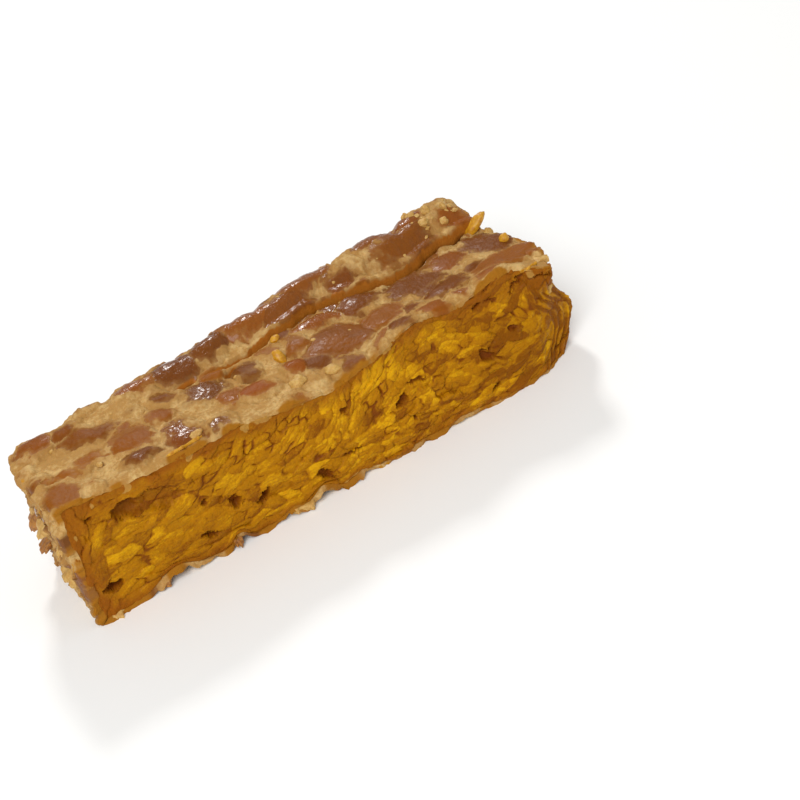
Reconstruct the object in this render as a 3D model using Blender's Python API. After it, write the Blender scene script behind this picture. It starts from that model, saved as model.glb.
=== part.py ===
"""Tempeh cake: a thick finger cut from a pressed soya-bean cake, lying on its flat underside.

One solid. Its top, left end, back and underside are the mould skin with the beans showing
through as low domes. The front and the right end are cut, so they are flatter, pitted where a
bean fell out, and sharp along their edges. A long split in the top skin runs to the right end,
and behind it the skin is lifted into a ridge of rounded lobes.

Frame: X along the length towards the cut end, Y from the cut front to the back, Z up. The origin
is at the bottom centre of the slab's box.
"""

import math

import bmesh
import bpy
import numpy as np
from mathutils import Vector, noise

# Driving dimensions, in metres.
LENGTH = 0.140
WIDTH_LEFT = 0.0325
WIDTH_RIGHT = 0.0500
HEIGHT_LEFT = 0.0350
HEIGHT_RIGHT = 0.0285
FRONT_Y = -0.0245

# The split in the top skin and the wall of the ridge behind it.
SPLIT_START_X = -0.030
SPLIT_START_Y = -0.001
SPLIT_SLOPE = 0.12
SPLIT_RUN = 0.045
SPLIT_DEPTH = 0.0016
SPLIT_HALF_WIDTH = 0.0011
RIDGE_WALL = 0.0026

# The split wanders off its straight line: x, half length, sideways shift.
SPLIT_WAVES = ((0.014, 0.009, 0.0020), (0.040, 0.011, -0.0030))

# The ridge swells into lobes, one after another along the back: x, half length, rise.
BACK_LOBES = (
    (-0.061, 0.010, 0.0010),
    (-0.048, 0.009, 0.0014),
    (-0.031, 0.013, 0.0022),
    (-0.009, 0.013, 0.0036),
    (0.013, 0.013, 0.0038),
    (0.037, 0.014, 0.0048),
    (0.057, 0.012, 0.0050),
)

# The top skin dips and humps along the cut front: x, half length, rise. They fade over the reach.
FRONT_SWELLS = ((0.000, 0.014, -0.0024), (0.030, 0.010, 0.0026), (0.058, 0.010, 0.0040))
FRONT_SWELL_REACH = 0.0150

# The cut front leans back at its top, most a little before the right end.
FRONT_LEAN = 0.0045
FRONT_LEAN_START_X = -0.005
FRONT_LEAN_FULL_X = 0.050
FRONT_LEAN_EASE_X = 0.060
FRONT_LEAN_EASE = 0.7
FRONT_LEAN_REACH = 0.0240

# Edge roundings.
CUT_EDGE_RADIUS = 0.0012
SKIN_TOP_RADIUS = 0.0062
SKIN_FOOT_RADIUS = 0.0042
LEFT_END_RADIUS = 0.0026

# The cut end bellies out below the top skin, and bows out along its top edge.
END_BELLY = 0.0082
END_BELLY_Z = 0.0110
END_BELLY_CLIMB = 0.0070
END_BELLY_HALF = 0.0090
END_BELLY_FADE = 0.60
END_ROUGHNESS = 0.0012
END_ROUGHNESS_CELL = 0.013
END_BOW = 0.0042
END_BOW_SHARE = 0.33
END_BOW_HALF = 0.24

# Below the top skin the cut front turns back towards the end, as a slanting facet.
FACET_START_X = 0.0625
FACET_SLOPE = 0.50
FACET_TOP_Z = 0.0270
FACET_FULL_Z = 0.0200
FACET_REACH = 0.0240

# The foot of the cut front is scalloped, where it tucks up between beans: x, half length, rise.
FOOT_TUCKS = (
    (-0.049, 0.0060, 0.0034),
    (-0.031, 0.0024, 0.0028),
    (-0.016, 0.0028, 0.0024),
    (-0.007, 0.0040, 0.0036),
    (0.004, 0.0040, 0.0016),
    (0.036, 0.0050, 0.0014),
)
FOOT_TUCK_HEIGHT = 0.0070
FOOT_TUCK_REACH = 0.0120

# The unevenness of every face, as bump width, rise and the place in the noise, and that of the cuts.
SWELLS = ((0.026, 0.0011, 1), (0.011, 0.0006, 2))
CUT_SWELL_SHARE = 0.4
CUT_ROUGHNESS = 0.0004
CUT_ROUGHNESS_CELL = 0.005

# Whole beans under the skin.
BEAN_PITCH = 0.0105
BEAN_LENGTH = 0.0125
BEAN_WIDTH = 0.0085
BEAN_DOME = 0.0015
FOOT_FLATTEN = 0.35

# Gaps in the cut front where beans fell out: x, z, half length, half height, depth, slope.
PITS = (
    (-0.0540, 0.0268, 0.0034, 0.0034, 0.0042, 0.10),
    (-0.0480, 0.0250, 0.0055, 0.0022, 0.0022, -0.50),
    (-0.0650, 0.0083, 0.0030, 0.0016, 0.0030, 0.10),
    (-0.0385, 0.0080, 0.0034, 0.0014, 0.0026, -0.45),
    (-0.0225, 0.0100, 0.0024, 0.0019, 0.0030, 0.20),
    (0.0200, 0.0155, 0.0024, 0.0026, 0.0030, 0.60),
    (0.0455, 0.0140, 0.0022, 0.0024, 0.0028, -0.40),
    (0.0450, 0.0048, 0.0022, 0.0016, 0.0028, 0.30),
)

# How many of the slab's points, in a hundred, it rests on.
REST_SHARE = 10.0

# Grid of the solid.
CELLS_X = 68
CELLS_Y = 18
CELLS_Z = 14

SEED = 7


def smooth(low, high, values):
    """0 below low, 1 above high, and an S between them."""
    share = np.clip((values - low) / (high - low), 0.0, 1.0)
    return share * share * (3.0 - 2.0 * share)


def wobble(points, cell, salt):
    """Smooth noise from -1 to 1 whose bumps are about one cell across."""
    shift = Vector((salt * 7.31, salt * 3.17, salt * 5.53))
    return np.array([noise.noise(Vector(p) / cell + shift) for p in points])


def grid_cube():
    """A cube from -1 to 1 whose faces are cut into the solid's grid."""
    mesh = bmesh.new()
    bmesh.ops.create_cube(mesh, size=2.0)
    for axis, cells in enumerate((CELLS_X, CELLS_Y, CELLS_Z)):
        along = [
            edge
            for edge in mesh.edges
            if abs(edge.verts[0].co[axis] - edge.verts[1].co[axis]) > 1.0
        ]
        bmesh.ops.subdivide_edges(mesh, edges=along, cuts=cells - 1, use_grid_fill=True)
    return mesh


def width_at(along):
    """The slab's width at a share of its length from the left end."""
    return WIDTH_LEFT + (WIDTH_RIGHT - WIDTH_LEFT) * along


def height_at(along):
    """The slab's height at a share of its length, without the ridge."""
    return HEIGHT_LEFT + (HEIGHT_RIGHT - HEIGHT_LEFT) * along


def split_y(x):
    """Where the split lies across the top."""
    y = SPLIT_START_Y + SPLIT_SLOPE * (x - SPLIT_START_X)
    for middle, half, shift in SPLIT_WAVES:
        y = y + shift * np.exp(-(((x - middle) / half) ** 2))
    return y


def split_share(along):
    """Where the split lies across the top, as a share of the width."""
    return (split_y(LENGTH * (along - 0.5)) - FRONT_Y) / width_at(along)


def crowd_to_split(across, along):
    """Moves the grid's lines across the top so that one follows the split and its neighbours are close."""
    middle = 0.6
    share = split_share(along)
    bent = np.where(
        across < middle,
        across / middle * share,
        share + (across - middle) / (1.0 - middle) * (1.0 - share),
    )
    away = bent - share
    return bent - 0.45 * away * np.exp(-((away / 0.10) ** 2))


def block_points(unit):
    """The slab as a straight-edged block."""
    along = (unit[:, 0] + 1.0) / 2.0
    across = crowd_to_split((unit[:, 1] + 1.0) / 2.0, along)
    x = LENGTH * (along - 0.5)
    y = FRONT_Y + width_at(along) * across
    z = height_at(along) * (unit[:, 2] + 1.0) / 2.0
    return np.stack([x, y, z], axis=1)


def rounding(unit):
    """The edge radius at each point: small along the cut faces and large where the skin wraps round."""
    back = smooth(-0.2, 0.8, unit[:, 1])
    top = smooth(-0.4, 0.6, unit[:, 2])
    left = smooth(-0.85, -1.0, unit[:, 0])
    skin = SKIN_FOOT_RADIUS + (SKIN_TOP_RADIUS - SKIN_FOOT_RADIUS) * top
    radius = CUT_EDGE_RADIUS + (skin - CUT_EDGE_RADIUS) * back
    radius *= 1.0 - 0.55 * smooth(0.88, 1.0, unit[:, 0])
    radius *= 1.0 - 0.50 * left
    return np.maximum(radius, LEFT_END_RADIUS * left * (0.45 + 0.55 * back))


def rounded(block, unit):
    """The block with its edges rounded, and the way out of it at each point."""
    along = (unit[:, 0] + 1.0) / 2.0
    radius = rounding(unit)[:, None]
    lowest = np.array([-LENGTH / 2, FRONT_Y, 0.0])
    half_length = np.full(len(block), LENGTH / 2)
    highest = np.stack([half_length, FRONT_Y + width_at(along), height_at(along)], axis=1)
    core = np.clip(block, lowest + radius, highest - radius)
    out = block - core
    out /= np.maximum(np.linalg.norm(out, axis=1), 1e-9)[:, None]
    return core + out * radius, out


def skin_share(out):
    """1 on the mould skin and 0 on the cut front and the cut right end."""
    front = smooth(0.35, 0.75, -out[:, 1])
    right = smooth(0.35, 0.75, out[:, 0])
    return (1.0 - front) * (1.0 - right)


def lobe_height(x):
    """The rise of the ridge's lobes along the back, the highest lobe winning at each place."""
    rise = np.zeros(len(x))
    for middle, half, top in BACK_LOBES:
        dome = np.sqrt(np.clip(1.0 - ((x - middle) / (half * 1.25)) ** 2, 0.0, 1.0))
        rise = np.maximum(rise, top * dome)
    return rise


def top_relief(points):
    """How far the top is raised at each point: the wall, groove and lobes of the ridge, and the front's swells."""
    x = points[:, 0]
    from_front = points[:, 1] - FRONT_Y
    width = width_at(np.clip(x / LENGTH + 0.5, 0.0, 1.0))
    away = points[:, 1] - split_y(x)
    opening = smooth(SPLIT_START_X, SPLIT_START_X + SPLIT_RUN, x)
    wall = opening * RIDGE_WALL * smooth(-0.3 * SPLIT_HALF_WIDTH, SPLIT_HALF_WIDTH, away)
    groove = opening * SPLIT_DEPTH * np.exp(-(((away + 0.0006) / SPLIT_HALF_WIDTH) ** 2))
    behind = away / (width - (split_y(x) - FRONT_Y))
    lobes = np.maximum(lobe_height(x) * smooth(0.0, 0.55, behind) - 0.5 * wall, 0.0)
    swells = sum(rise * np.exp(-(((x - middle) / half) ** 2)) for middle, half, rise in FRONT_SWELLS)
    return wall - groove + lobes + swells * smooth(FRONT_SWELL_REACH, 0.0, from_front)


def bean_domes(points, out):
    """Low domes of the beans under the skin, laid out on an uneven grid on each skinned side."""
    rng = np.random.default_rng(SEED)
    sides = (
        (0, 1, (0.0, 0.0, 1.0)),
        (0, 1, (0.0, 0.0, -1.0)),
        (0, 2, (0.0, 1.0, 0.0)),
        (2, 1, (-1.0, 0.0, 0.0)),
    )
    low, high = points.min(axis=0), points.max(axis=0)
    pitch_across = BEAN_PITCH * 0.72
    domes = np.zeros(len(points))
    for first, second, normal in sides:
        facing = smooth(0.3, 0.75, out @ np.array(normal))
        rows = int((high[second] - low[second]) / pitch_across) + 1
        columns = int((high[first] - low[first]) / BEAN_PITCH) + 1
        for row, column in np.ndindex(rows, columns):
            jitter = rng.uniform(-0.32, 0.32, 2)
            turn = rng.normal(0.0, 0.45)
            size = rng.uniform(0.78, 1.15)
            rise = rng.uniform(0.45, 1.0)
            middle_first = low[first] + (column + 0.5 * (row % 2) + 0.25 + jitter[0]) * BEAN_PITCH
            middle_second = low[second] + (row + 0.5 + jitter[1]) * pitch_across
            away_first = points[:, first] - middle_first
            away_second = points[:, second] - middle_second
            lengthwise = away_first * math.cos(turn) + away_second * math.sin(turn)
            sideways = away_second * math.cos(turn) - away_first * math.sin(turn)
            spread = (lengthwise / (BEAN_LENGTH / 2 * size)) ** 2
            spread += (sideways / (BEAN_WIDTH / 2 * size)) ** 2
            dome = np.sqrt(np.clip(1.0 - spread, 0.0, 1.0)) * rise * facing
            domes = np.maximum(domes, dome)
    return domes * BEAN_DOME


def pit_depths(points, out):
    """How deep the cut front is hollowed where beans fell out of it."""
    facing = smooth(0.4, 0.8, -out[:, 1])
    depth = np.zeros(len(points))
    for x, z, half_length, half_height, deep, slope in PITS:
        away_x = points[:, 0] - x
        away_z = points[:, 2] - z - slope * away_x
        spread = (away_x / half_length) ** 2 + (away_z / half_height) ** 2
        depth = np.maximum(depth, deep * np.clip(1.0 - spread**1.5, 0.0, 1.0))
    return depth * facing


def reach_out(points):
    """Pushes the cut end out to its belly and its bow, more and more over the last quarter of the length."""
    along = points[:, 0] / LENGTH + 0.5
    across = (points[:, 1] - FRONT_Y) / width_at(along)
    middle = END_BELLY_Z + END_BELLY_CLIMB * smooth(0.2, 1.0, across)
    belly = END_BELLY * np.exp(-(((points[:, 2] - middle) / END_BELLY_HALF) ** 2))
    belly *= 1.0 - END_BELLY_FADE * smooth(0.25, 0.8, across)
    belly += END_ROUGHNESS * wobble(points, END_ROUGHNESS_CELL, 11)
    bow = END_BOW * np.exp(-(((across - END_BOW_SHARE) / END_BOW_HALF) ** 2))
    bow *= smooth(0.4, 0.8, points[:, 2] / HEIGHT_RIGHT)
    points[:, 0] += np.maximum(belly, bow) * smooth(0.75, 1.0, along)
    return points


def turn_back(points):
    """Turns the cut front back near the right end, below the top skin."""
    back = FACET_SLOPE * np.clip(points[:, 0] - FACET_START_X, 0.0, None)
    back *= smooth(FACET_TOP_Z, FACET_FULL_Z, points[:, 2])
    points[:, 1] += back * np.clip(1.0 - (points[:, 1] - FRONT_Y) / FACET_REACH, 0.0, 1.0)
    return points


def lean_back(points):
    """Leans the top of the cut front back, most a little before the right end."""
    x = points[:, 0]
    lean = FRONT_LEAN * smooth(FRONT_LEAN_START_X, FRONT_LEAN_FULL_X, x)
    lean *= 1.0 - FRONT_LEAN_EASE * smooth(FRONT_LEAN_EASE_X, LENGTH / 2, x)
    lean *= smooth(0.2, 1.0, points[:, 2] / HEIGHT_RIGHT)
    points[:, 1] += lean * np.clip(1.0 - (points[:, 1] - FRONT_Y) / FRONT_LEAN_REACH, 0.0, 1.0)
    return points


def tuck_foot(points):
    """Lifts the foot of the cut front between the beans that it stands on."""
    lift = sum(rise * np.exp(-(((points[:, 0] - middle) / half) ** 2)) for middle, half, rise in FOOT_TUCKS)
    near_front = smooth(FOOT_TUCK_REACH, 0.0, points[:, 1] - FRONT_Y)
    near_foot = smooth(FOOT_TUCK_HEIGHT, 0.0, points[:, 2])
    points[:, 2] += lift * near_front * near_foot
    return points


def shape_slab(unit):
    """The place of every point of the slab's surface."""
    points, out = rounded(block_points(unit), unit)
    skin = skin_share(out)
    up = np.clip(out[:, 2], 0.0, 1.0)
    down = np.clip(-out[:, 2], 0.0, 1.0)
    swell = sum(rise * wobble(points, cell, salt) for cell, rise, salt in SWELLS)
    rough = CUT_ROUGHNESS * wobble(points, CUT_ROUGHNESS_CELL, 3) * (1.0 - skin)
    flat_foot = 1.0 - (1.0 - FOOT_FLATTEN) * down
    swell *= CUT_SWELL_SHARE + (1.0 - CUT_SWELL_SHARE) * skin
    proud = (swell + bean_domes(points, out) * skin) * flat_foot + rough
    moved = points + out * (proud - pit_depths(points, out))[:, None]
    moved[:, 2] += top_relief(points) * smooth(0.15, 0.7, up)
    return tuck_foot(lean_back(turn_back(reach_out(moved))))


def rest_flat(points):
    """Drops the slab onto its lowest beans and flattens them, so that it rests on a face and not on points."""
    contact = np.percentile(points[:, 2], REST_SHARE)
    points[:, 2] = np.maximum(points[:, 2] - contact, 0.0)
    return points


def centred(points):
    """The points with the middle of their box over the origin."""
    middle = (points.min(axis=0) + points.max(axis=0)) / 2.0
    points[:, :2] -= middle[:2]
    return points


def tempeh_material():
    """Mustard-brown cooked soya."""
    material = bpy.data.materials.new("tempeh")
    material.use_nodes = True
    shader = material.node_tree.nodes["Principled BSDF"]
    shader.inputs["Base Color"].default_value = (0.42, 0.19, 0.03, 1.0)
    shader.inputs["Roughness"].default_value = 0.5
    shader.inputs["Metallic"].default_value = 0.0
    return material


def build_slab(collection):
    """The tempeh slab as one closed object."""
    cage = grid_cube()
    unit = np.array([vertex.co for vertex in cage.verts])
    points = centred(rest_flat(shape_slab(unit)))
    for vertex, place in zip(cage.verts, points):
        vertex.co = place
    bmesh.ops.recalc_face_normals(cage, faces=cage.faces)
    mesh = bpy.data.meshes.new("tempeh_slab")
    cage.to_mesh(mesh)
    cage.free()
    mesh.materials.append(tempeh_material())
    mesh.shade_smooth()
    slab = bpy.data.objects.new("tempeh_slab", mesh)
    collection.objects.link(slab)
    return slab


def main():
    """Builds the part in a collection of its own."""
    for old in list(bpy.data.objects):
        bpy.data.objects.remove(old)
    collection = bpy.data.collections.new("tempeh_cake")
    bpy.context.scene.collection.children.link(collection)
    build_slab(collection)


main()
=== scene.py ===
"""Tempeh cake: the looks of a thick finger cut from a pressed soya-bean cake.

The slab's front and right end are cut, so they show split beans pressed into one another. All
its other faces are mould skin, with bare brown beans between the pale mould. The form repeats the
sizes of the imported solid, so that every piece lies where that solid is. All sizes are in metres.
"""

import logging
import math
from dataclasses import dataclass, field
from enum import Enum
from typing import Any, Callable, Iterable, Optional, Sequence, Union

import bmesh
import bpy
import numpy as np
from mathutils import Matrix, Vector, noise


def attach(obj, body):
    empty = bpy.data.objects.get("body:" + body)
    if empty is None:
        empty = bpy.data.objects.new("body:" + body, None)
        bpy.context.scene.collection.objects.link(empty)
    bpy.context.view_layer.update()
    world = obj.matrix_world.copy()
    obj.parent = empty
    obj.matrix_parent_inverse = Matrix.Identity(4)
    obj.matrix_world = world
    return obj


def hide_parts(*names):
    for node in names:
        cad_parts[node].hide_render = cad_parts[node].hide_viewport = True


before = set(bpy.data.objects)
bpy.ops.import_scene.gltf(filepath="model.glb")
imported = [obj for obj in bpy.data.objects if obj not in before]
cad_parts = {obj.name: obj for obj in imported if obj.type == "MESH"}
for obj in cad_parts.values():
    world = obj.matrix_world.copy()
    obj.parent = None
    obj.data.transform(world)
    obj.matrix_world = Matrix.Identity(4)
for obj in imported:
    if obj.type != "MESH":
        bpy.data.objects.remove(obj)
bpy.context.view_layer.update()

LOG = logging.getLogger("tempeh")
ON_FACE = 0.9999

Array = np.ndarray
Colour = tuple[float, float, float, float]


def smooth(low: float, high: float, values: Array) -> Array:
    """An S-shaped step.

    Args:
        low: the value at which the step starts; it may be the larger one.
        high: the value at which the step ends.
        values: where to read it.

    Returns:
        0 before low, 1 past high, and an S between them.
    """
    share = np.clip((values - low) / (high - low), 0.0, 1.0)
    return share * share * (3.0 - 2.0 * share)


def bell(values: Array, middle: float, half: float) -> Array:
    """A bell curve of height 1 about the middle, about two halves wide."""
    return np.exp(-(((values - middle) / half) ** 2))


def paint(red: int, green: int, blue: int) -> Colour:
    """A colour for a shader.

    Args:
        red: its usual value, 0 to 255.
        green: likewise.
        blue: likewise.

    Returns:
        The colour in linear light, with full alpha.
    """
    parts = [part / 255.0 for part in (red, green, blue)]
    linear = [part / 12.92 if part <= 0.04045 else ((part + 0.055) / 1.055) ** 2.4 for part in parts]
    return (linear[0], linear[1], linear[2], 1.0)


def turned(right: Array, up: Array, degrees: float) -> tuple[Array, Array]:
    """How far offsets to the right and up run along a line at that angle, and across it."""
    turn = math.radians(degrees)
    along = right * math.cos(turn) + up * math.sin(turn)
    return along, up * math.cos(turn) - right * math.sin(turn)


class Side(Enum):
    """The sheets that the slab's surface is made of, each with its way out of the slab."""

    TOP = (0.0, 0.0, 1.0)
    BACK = (0.0, 1.0, 0.0)
    UNDER = (0.0, 0.0, -1.0)
    LEFT = (-1.0, 0.0, 0.0)
    FRONT = (0.0, -1.0, 0.0)
    END = (1.0, 0.0, 0.0)

    @property
    def out(self) -> Array:
        """The way out of the slab on this side."""
        return np.array(self.value)


class Grain:
    """Smooth noise on a lattice, the same on every run."""

    CELLS = 48

    def __init__(self, seed: int) -> None:
        """Draws the lattice's values."""
        self.table = np.random.default_rng(seed).uniform(-1.0, 1.0, (self.CELLS,) * 3)

    def at(self, places: Array, cell: Union[float, Sequence[float]], salt: float) -> Array:
        """Reads the noise.

        Args:
            places: points, one to a row.
            cell: how wide a bump is, in all directions or in each of them.
            salt: moves the pattern, so that two readings differ.

        Returns:
            One value from -1 to 1 for each point.
        """
        steps = places / np.asarray(cell) + salt * 17.137
        base = np.floor(steps).astype(int)
        share = steps - base
        share = share * share * (3.0 - 2.0 * share)
        total = np.zeros(len(places))
        for corner in np.ndindex(2, 2, 2):
            weight = np.prod(np.where(corner, share, 1.0 - share), axis=1)
            index = (base + corner) % self.CELLS
            total += weight * self.table[index[:, 0], index[:, 1], index[:, 2]]
        return total

    def rough(self, places: Array, cell: float, salt: float, octaves: int = 3) -> Array:
        """Noise with finer noise on it, each octave half as wide and half as high."""
        return sum(self.at(places, cell / 2**step, salt + step) * 0.5**step for step in range(octaves))


GRAIN = Grain(11)


@dataclass(frozen=True)
class Bump:
    """A rise along the slab: its middle, how far it reaches each way, and its height."""

    x: float
    half: float
    rise: float


@dataclass
class Surface:
    """Points on the slab.

    Attributes:
        flat: where the points lie on the plain rounded block, on which the patterns are laid out.
        out: the way out of the block at each point.
        unit: the points on a cube from -1 to 1.
    """

    flat: Array
    out: Array
    unit: Array

    @property
    def on_top(self) -> Array:
        """1 where the surface faces up, 0 where it is steep or faces down."""
        return smooth(0.3, 0.8, self.out[:, 2])

    @property
    def steep(self) -> Array:
        """1 where the surface is steep or faces down, 0 where it faces up."""
        return smooth(0.75, 0.35, self.out[:, 2])


@dataclass
class SlabForm:
    """The slab's form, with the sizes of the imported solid."""

    length: float = 0.140
    width_left: float = 0.0325
    width_right: float = 0.0500
    height_left: float = 0.0350
    height_right: float = 0.0285
    front_y: float = -0.0245
    middle: tuple[float, float] = (0.00351, 0.00079)
    contact_z: float = -0.00025

    split_start: tuple[float, float] = (-0.030, -0.001)
    split_slope: float = 0.12
    split_run: float = 0.045
    split_depth: float = 0.0024
    split_half_width: float = 0.0006
    ridge_wall: float = 0.0022
    split_waves: tuple[Bump, ...] = (Bump(0.014, 0.009, 0.0020), Bump(0.040, 0.011, -0.0030))
    back_lobes: tuple[Bump, ...] = (
        Bump(-0.061, 0.010, 0.0010),
        Bump(-0.048, 0.009, 0.0014),
        Bump(-0.031, 0.013, 0.0022),
        Bump(-0.009, 0.013, 0.0036),
        Bump(0.013, 0.013, 0.0038),
        Bump(0.037, 0.014, 0.0048),
        Bump(0.057, 0.012, 0.0050),
    )
    front_swells: tuple[Bump, ...] = (
        Bump(0.000, 0.014, -0.0024),
        Bump(0.030, 0.010, 0.0026),
        Bump(0.058, 0.010, 0.0040),
    )
    front_swell_reach: float = 0.0150
    front_lean: float = 0.0045
    front_lean_reach: float = 0.0240
    belly: float = 0.0082
    belly_half: float = 0.0090
    belly_heights: tuple[float, float] = (0.0110, 0.0180)
    belly_uneven: float = 0.0012
    bow: float = 0.0042
    corner_x: float = 0.0625
    corner_slope: float = 0.50
    cut_radius: float = 0.0012
    skin_radius: float = 0.0042
    top_radius: float = 0.0062
    left_radius: float = 0.0026
    split_stray: float = 0.0007
    swells: tuple[tuple[float, float, int], ...] = ((0.026, 0.0011, 1), (0.011, 0.0006, 2))
    foot_tucks: tuple[Bump, ...] = (
        Bump(-0.049, 0.0060, 0.0034),
        Bump(-0.031, 0.0024, 0.0028),
        Bump(-0.016, 0.0028, 0.0024),
        Bump(-0.007, 0.0040, 0.0036),
        Bump(0.004, 0.0040, 0.0016),
        Bump(0.036, 0.0050, 0.0014),
    )

    def width_at(self, x: Array) -> Array:
        """The slab's width at each place along it."""
        along = np.clip(x / self.length + 0.5, 0.0, 1.0)
        return self.width_left + (self.width_right - self.width_left) * along

    def height_at(self, x: Array) -> Array:
        """The slab's height at each place along it, without its ridge."""
        along = np.clip(x / self.length + 0.5, 0.0, 1.0)
        return self.height_left + (self.height_right - self.height_left) * along

    def split_y(self, x: Array) -> Array:
        """Where the split lies across the top."""
        y = self.split_start[1] + self.split_slope * (x - self.split_start[0])
        return y + sum(wave.rise * bell(x, wave.x, wave.half) for wave in self.split_waves)

    def crowd(self, across: Array, x: Array) -> Array:
        """Moves lines along the top so that one follows the split and its neighbours are close.

        Args:
            across: where the lines lie across the top, from 0 at the front to 1 at the back.
            x: their places along the slab.

        Returns:
            Where they lie after it.
        """
        line, rest, pull, reach = 0.6, 0.4, 0.55, 0.09
        share = (self.split_y(x) - self.front_y) / self.width_at(x)
        behind = share + (across - line) / rest * (1.0 - share)
        bent = np.where(across < line, across / line * share, behind)
        away = bent - share
        return bent - pull * away * np.exp(-((away / reach) ** 2))

    def radius_at(self, unit: Array) -> Array:
        """The edge radius: small along the cuts, large where the skin wraps round.

        Args:
            unit: points on a cube from -1 to 1.

        Returns:
            The radius at each of them.
        """
        back = smooth(-0.2, 0.8, unit[:, 1])
        top = smooth(-0.4, 0.6, unit[:, 2])
        left = smooth(-0.85, -1.0, unit[:, 0])
        skin = self.skin_radius + (self.top_radius - self.skin_radius) * top
        radius = self.cut_radius + (skin - self.cut_radius) * back
        radius *= 1.0 - 0.55 * smooth(0.88, 1.0, unit[:, 0])
        radius *= 1.0 - 0.50 * left
        return np.maximum(radius, self.left_radius * left * (0.45 + 0.55 * back))

    def surface(self, unit: Array) -> Surface:
        """The rounded block.

        Args:
            unit: points on a cube from -1 to 1.

        Returns:
            The same points on the block.
        """
        x = self.length * unit[:, 0] / 2.0
        width = self.width_at(x)
        height = self.height_at(x)
        across = self.crowd((unit[:, 1] + 1.0) / 2.0, x)
        block = np.stack([x, self.front_y + width * across, height * (unit[:, 2] + 1.0) / 2.0], axis=1)
        radius = self.radius_at(unit)[:, None]
        lowest = np.array([-self.length / 2.0, self.front_y, 0.0])
        highest = np.stack([np.full(len(x), self.length / 2.0), self.front_y + width, height], axis=1)
        core = np.clip(block, lowest + radius, highest - radius)
        out = block - core
        out /= np.maximum(np.linalg.norm(out, axis=1), 1e-9)[:, None]
        return Surface(core + out * radius, out, unit)

    def swell(self, places: Array) -> Array:
        """The slow unevenness of every face.

        Args:
            places: points on the block.

        Returns:
            How far it raises each of them.
        """
        total = np.zeros(len(places))
        for cell, rise, salt in self.swells:
            shift = Vector((salt * 7.31, salt * 3.17, salt * 5.53))
            total += rise * np.array([noise.noise(Vector(place) / cell + shift) for place in places])
        return total

    def from_split(self, places: Array) -> Array:
        """How far each point lies behind the split, which strays to and fro."""
        stray = self.split_stray * GRAIN.rough(places * np.array([1.0, 0.25, 0.25]), 0.0050, 64.0)
        return places[:, 1] - self.split_y(places[:, 0]) + stray

    def ridge(self, places: Array) -> Array:
        """How far the split's wall and groove, the ridge's lobes and the front's swells raise the top.

        Args:
            places: points on the block.

        Returns:
            The rise at each of them.
        """
        x = places[:, 0]
        away = self.from_split(places)
        half = self.split_half_width
        opening = smooth(self.split_start[0], self.split_start[0] + self.split_run, x)
        wall = opening * self.ridge_wall * smooth(-0.3 * half, half, away)
        groove = opening * self.split_depth * bell(away, -0.0004, half)
        behind = away / (self.width_at(x) - (self.split_y(x) - self.front_y))
        lobes = np.zeros(len(x))
        for lobe in self.back_lobes:
            dome = np.sqrt(np.clip(1.0 - ((x - lobe.x) / (lobe.half * 1.25)) ** 2, 0.0, 1.0))
            lobes = np.maximum(lobes, lobe.rise * dome)
        lobes = np.maximum(lobes * smooth(0.0, 0.55, behind) - 0.5 * wall, 0.0)
        swells = sum(swell.rise * bell(x, swell.x, swell.half) for swell in self.front_swells)
        near = smooth(self.front_swell_reach, 0.0, places[:, 1] - self.front_y)
        return wall - groove + lobes + swells * near

    def bulge(self, places: Array) -> Array:
        """How far the cut end's belly and bow stand out.

        Args:
            places: points on the block, with their relief.

        Returns:
            The way out at each of them.
        """
        across = (places[:, 1] - self.front_y) / self.width_at(places[:, 0])
        low, high = self.belly_heights
        middle = low + (high - low) * smooth(0.2, 1.0, across)
        belly = self.belly * np.exp(-(((places[:, 2] - middle) / self.belly_half) ** 2))
        belly *= 1.0 - 0.60 * smooth(0.25, 0.8, across)
        shift = Vector((80.41, 34.87, 60.83))
        uneven = [noise.noise(Vector(place) / 0.013 + shift) for place in places]
        belly += self.belly_uneven * np.array(uneven)
        bow = self.bow * bell(across, 0.33, 0.24) * smooth(0.4, 0.8, places[:, 2] / self.height_right)
        return np.maximum(belly, bow)

    def bend(self, places: Array) -> Array:
        """Bellies and bows the cut end, turns and leans the cut front back, and tucks up its foot.

        Args:
            places: points on the block, with their relief.

        Returns:
            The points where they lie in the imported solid's frame.
        """
        x, y, z = places.T.copy()
        x = x + self.bulge(places) * smooth(0.75, 1.0, x / self.length + 0.5)
        back = self.corner_slope * np.clip(x - self.corner_x, 0.0, None) * smooth(0.0270, 0.0200, z)
        y = y + back * np.clip(1.0 - (y - self.front_y) / 0.0240, 0.0, 1.0)
        lean = self.front_lean * smooth(-0.005, 0.050, x)
        lean *= 1.0 - 0.7 * smooth(0.060, self.length / 2.0, x)
        lean *= smooth(0.2, 1.0, z / self.height_right)
        y = y + lean * np.clip(1.0 - (y - self.front_y) / self.front_lean_reach, 0.0, 1.0)
        lift = sum(tuck.rise * bell(x, tuck.x, tuck.half) for tuck in self.foot_tucks)
        z = z + lift * smooth(0.0120, 0.0, y - self.front_y) * smooth(0.0070, 0.0, z)
        z = np.maximum(z - self.contact_z, 0.0)
        return np.stack([x - self.middle[0], y - self.middle[1], z], axis=1)

    def placed(self, surface: Surface, proud: Array) -> Array:
        """The final place of each point of a surface that stands proud of the block by that much."""
        places = surface.flat + surface.out * proud[:, None]
        places[:, 2] += self.ridge(surface.flat) * smooth(0.45, 1.0, (surface.unit[:, 2] + 1.0) / 2.0)
        return self.bend(places)


FORM = SlabForm()


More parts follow.
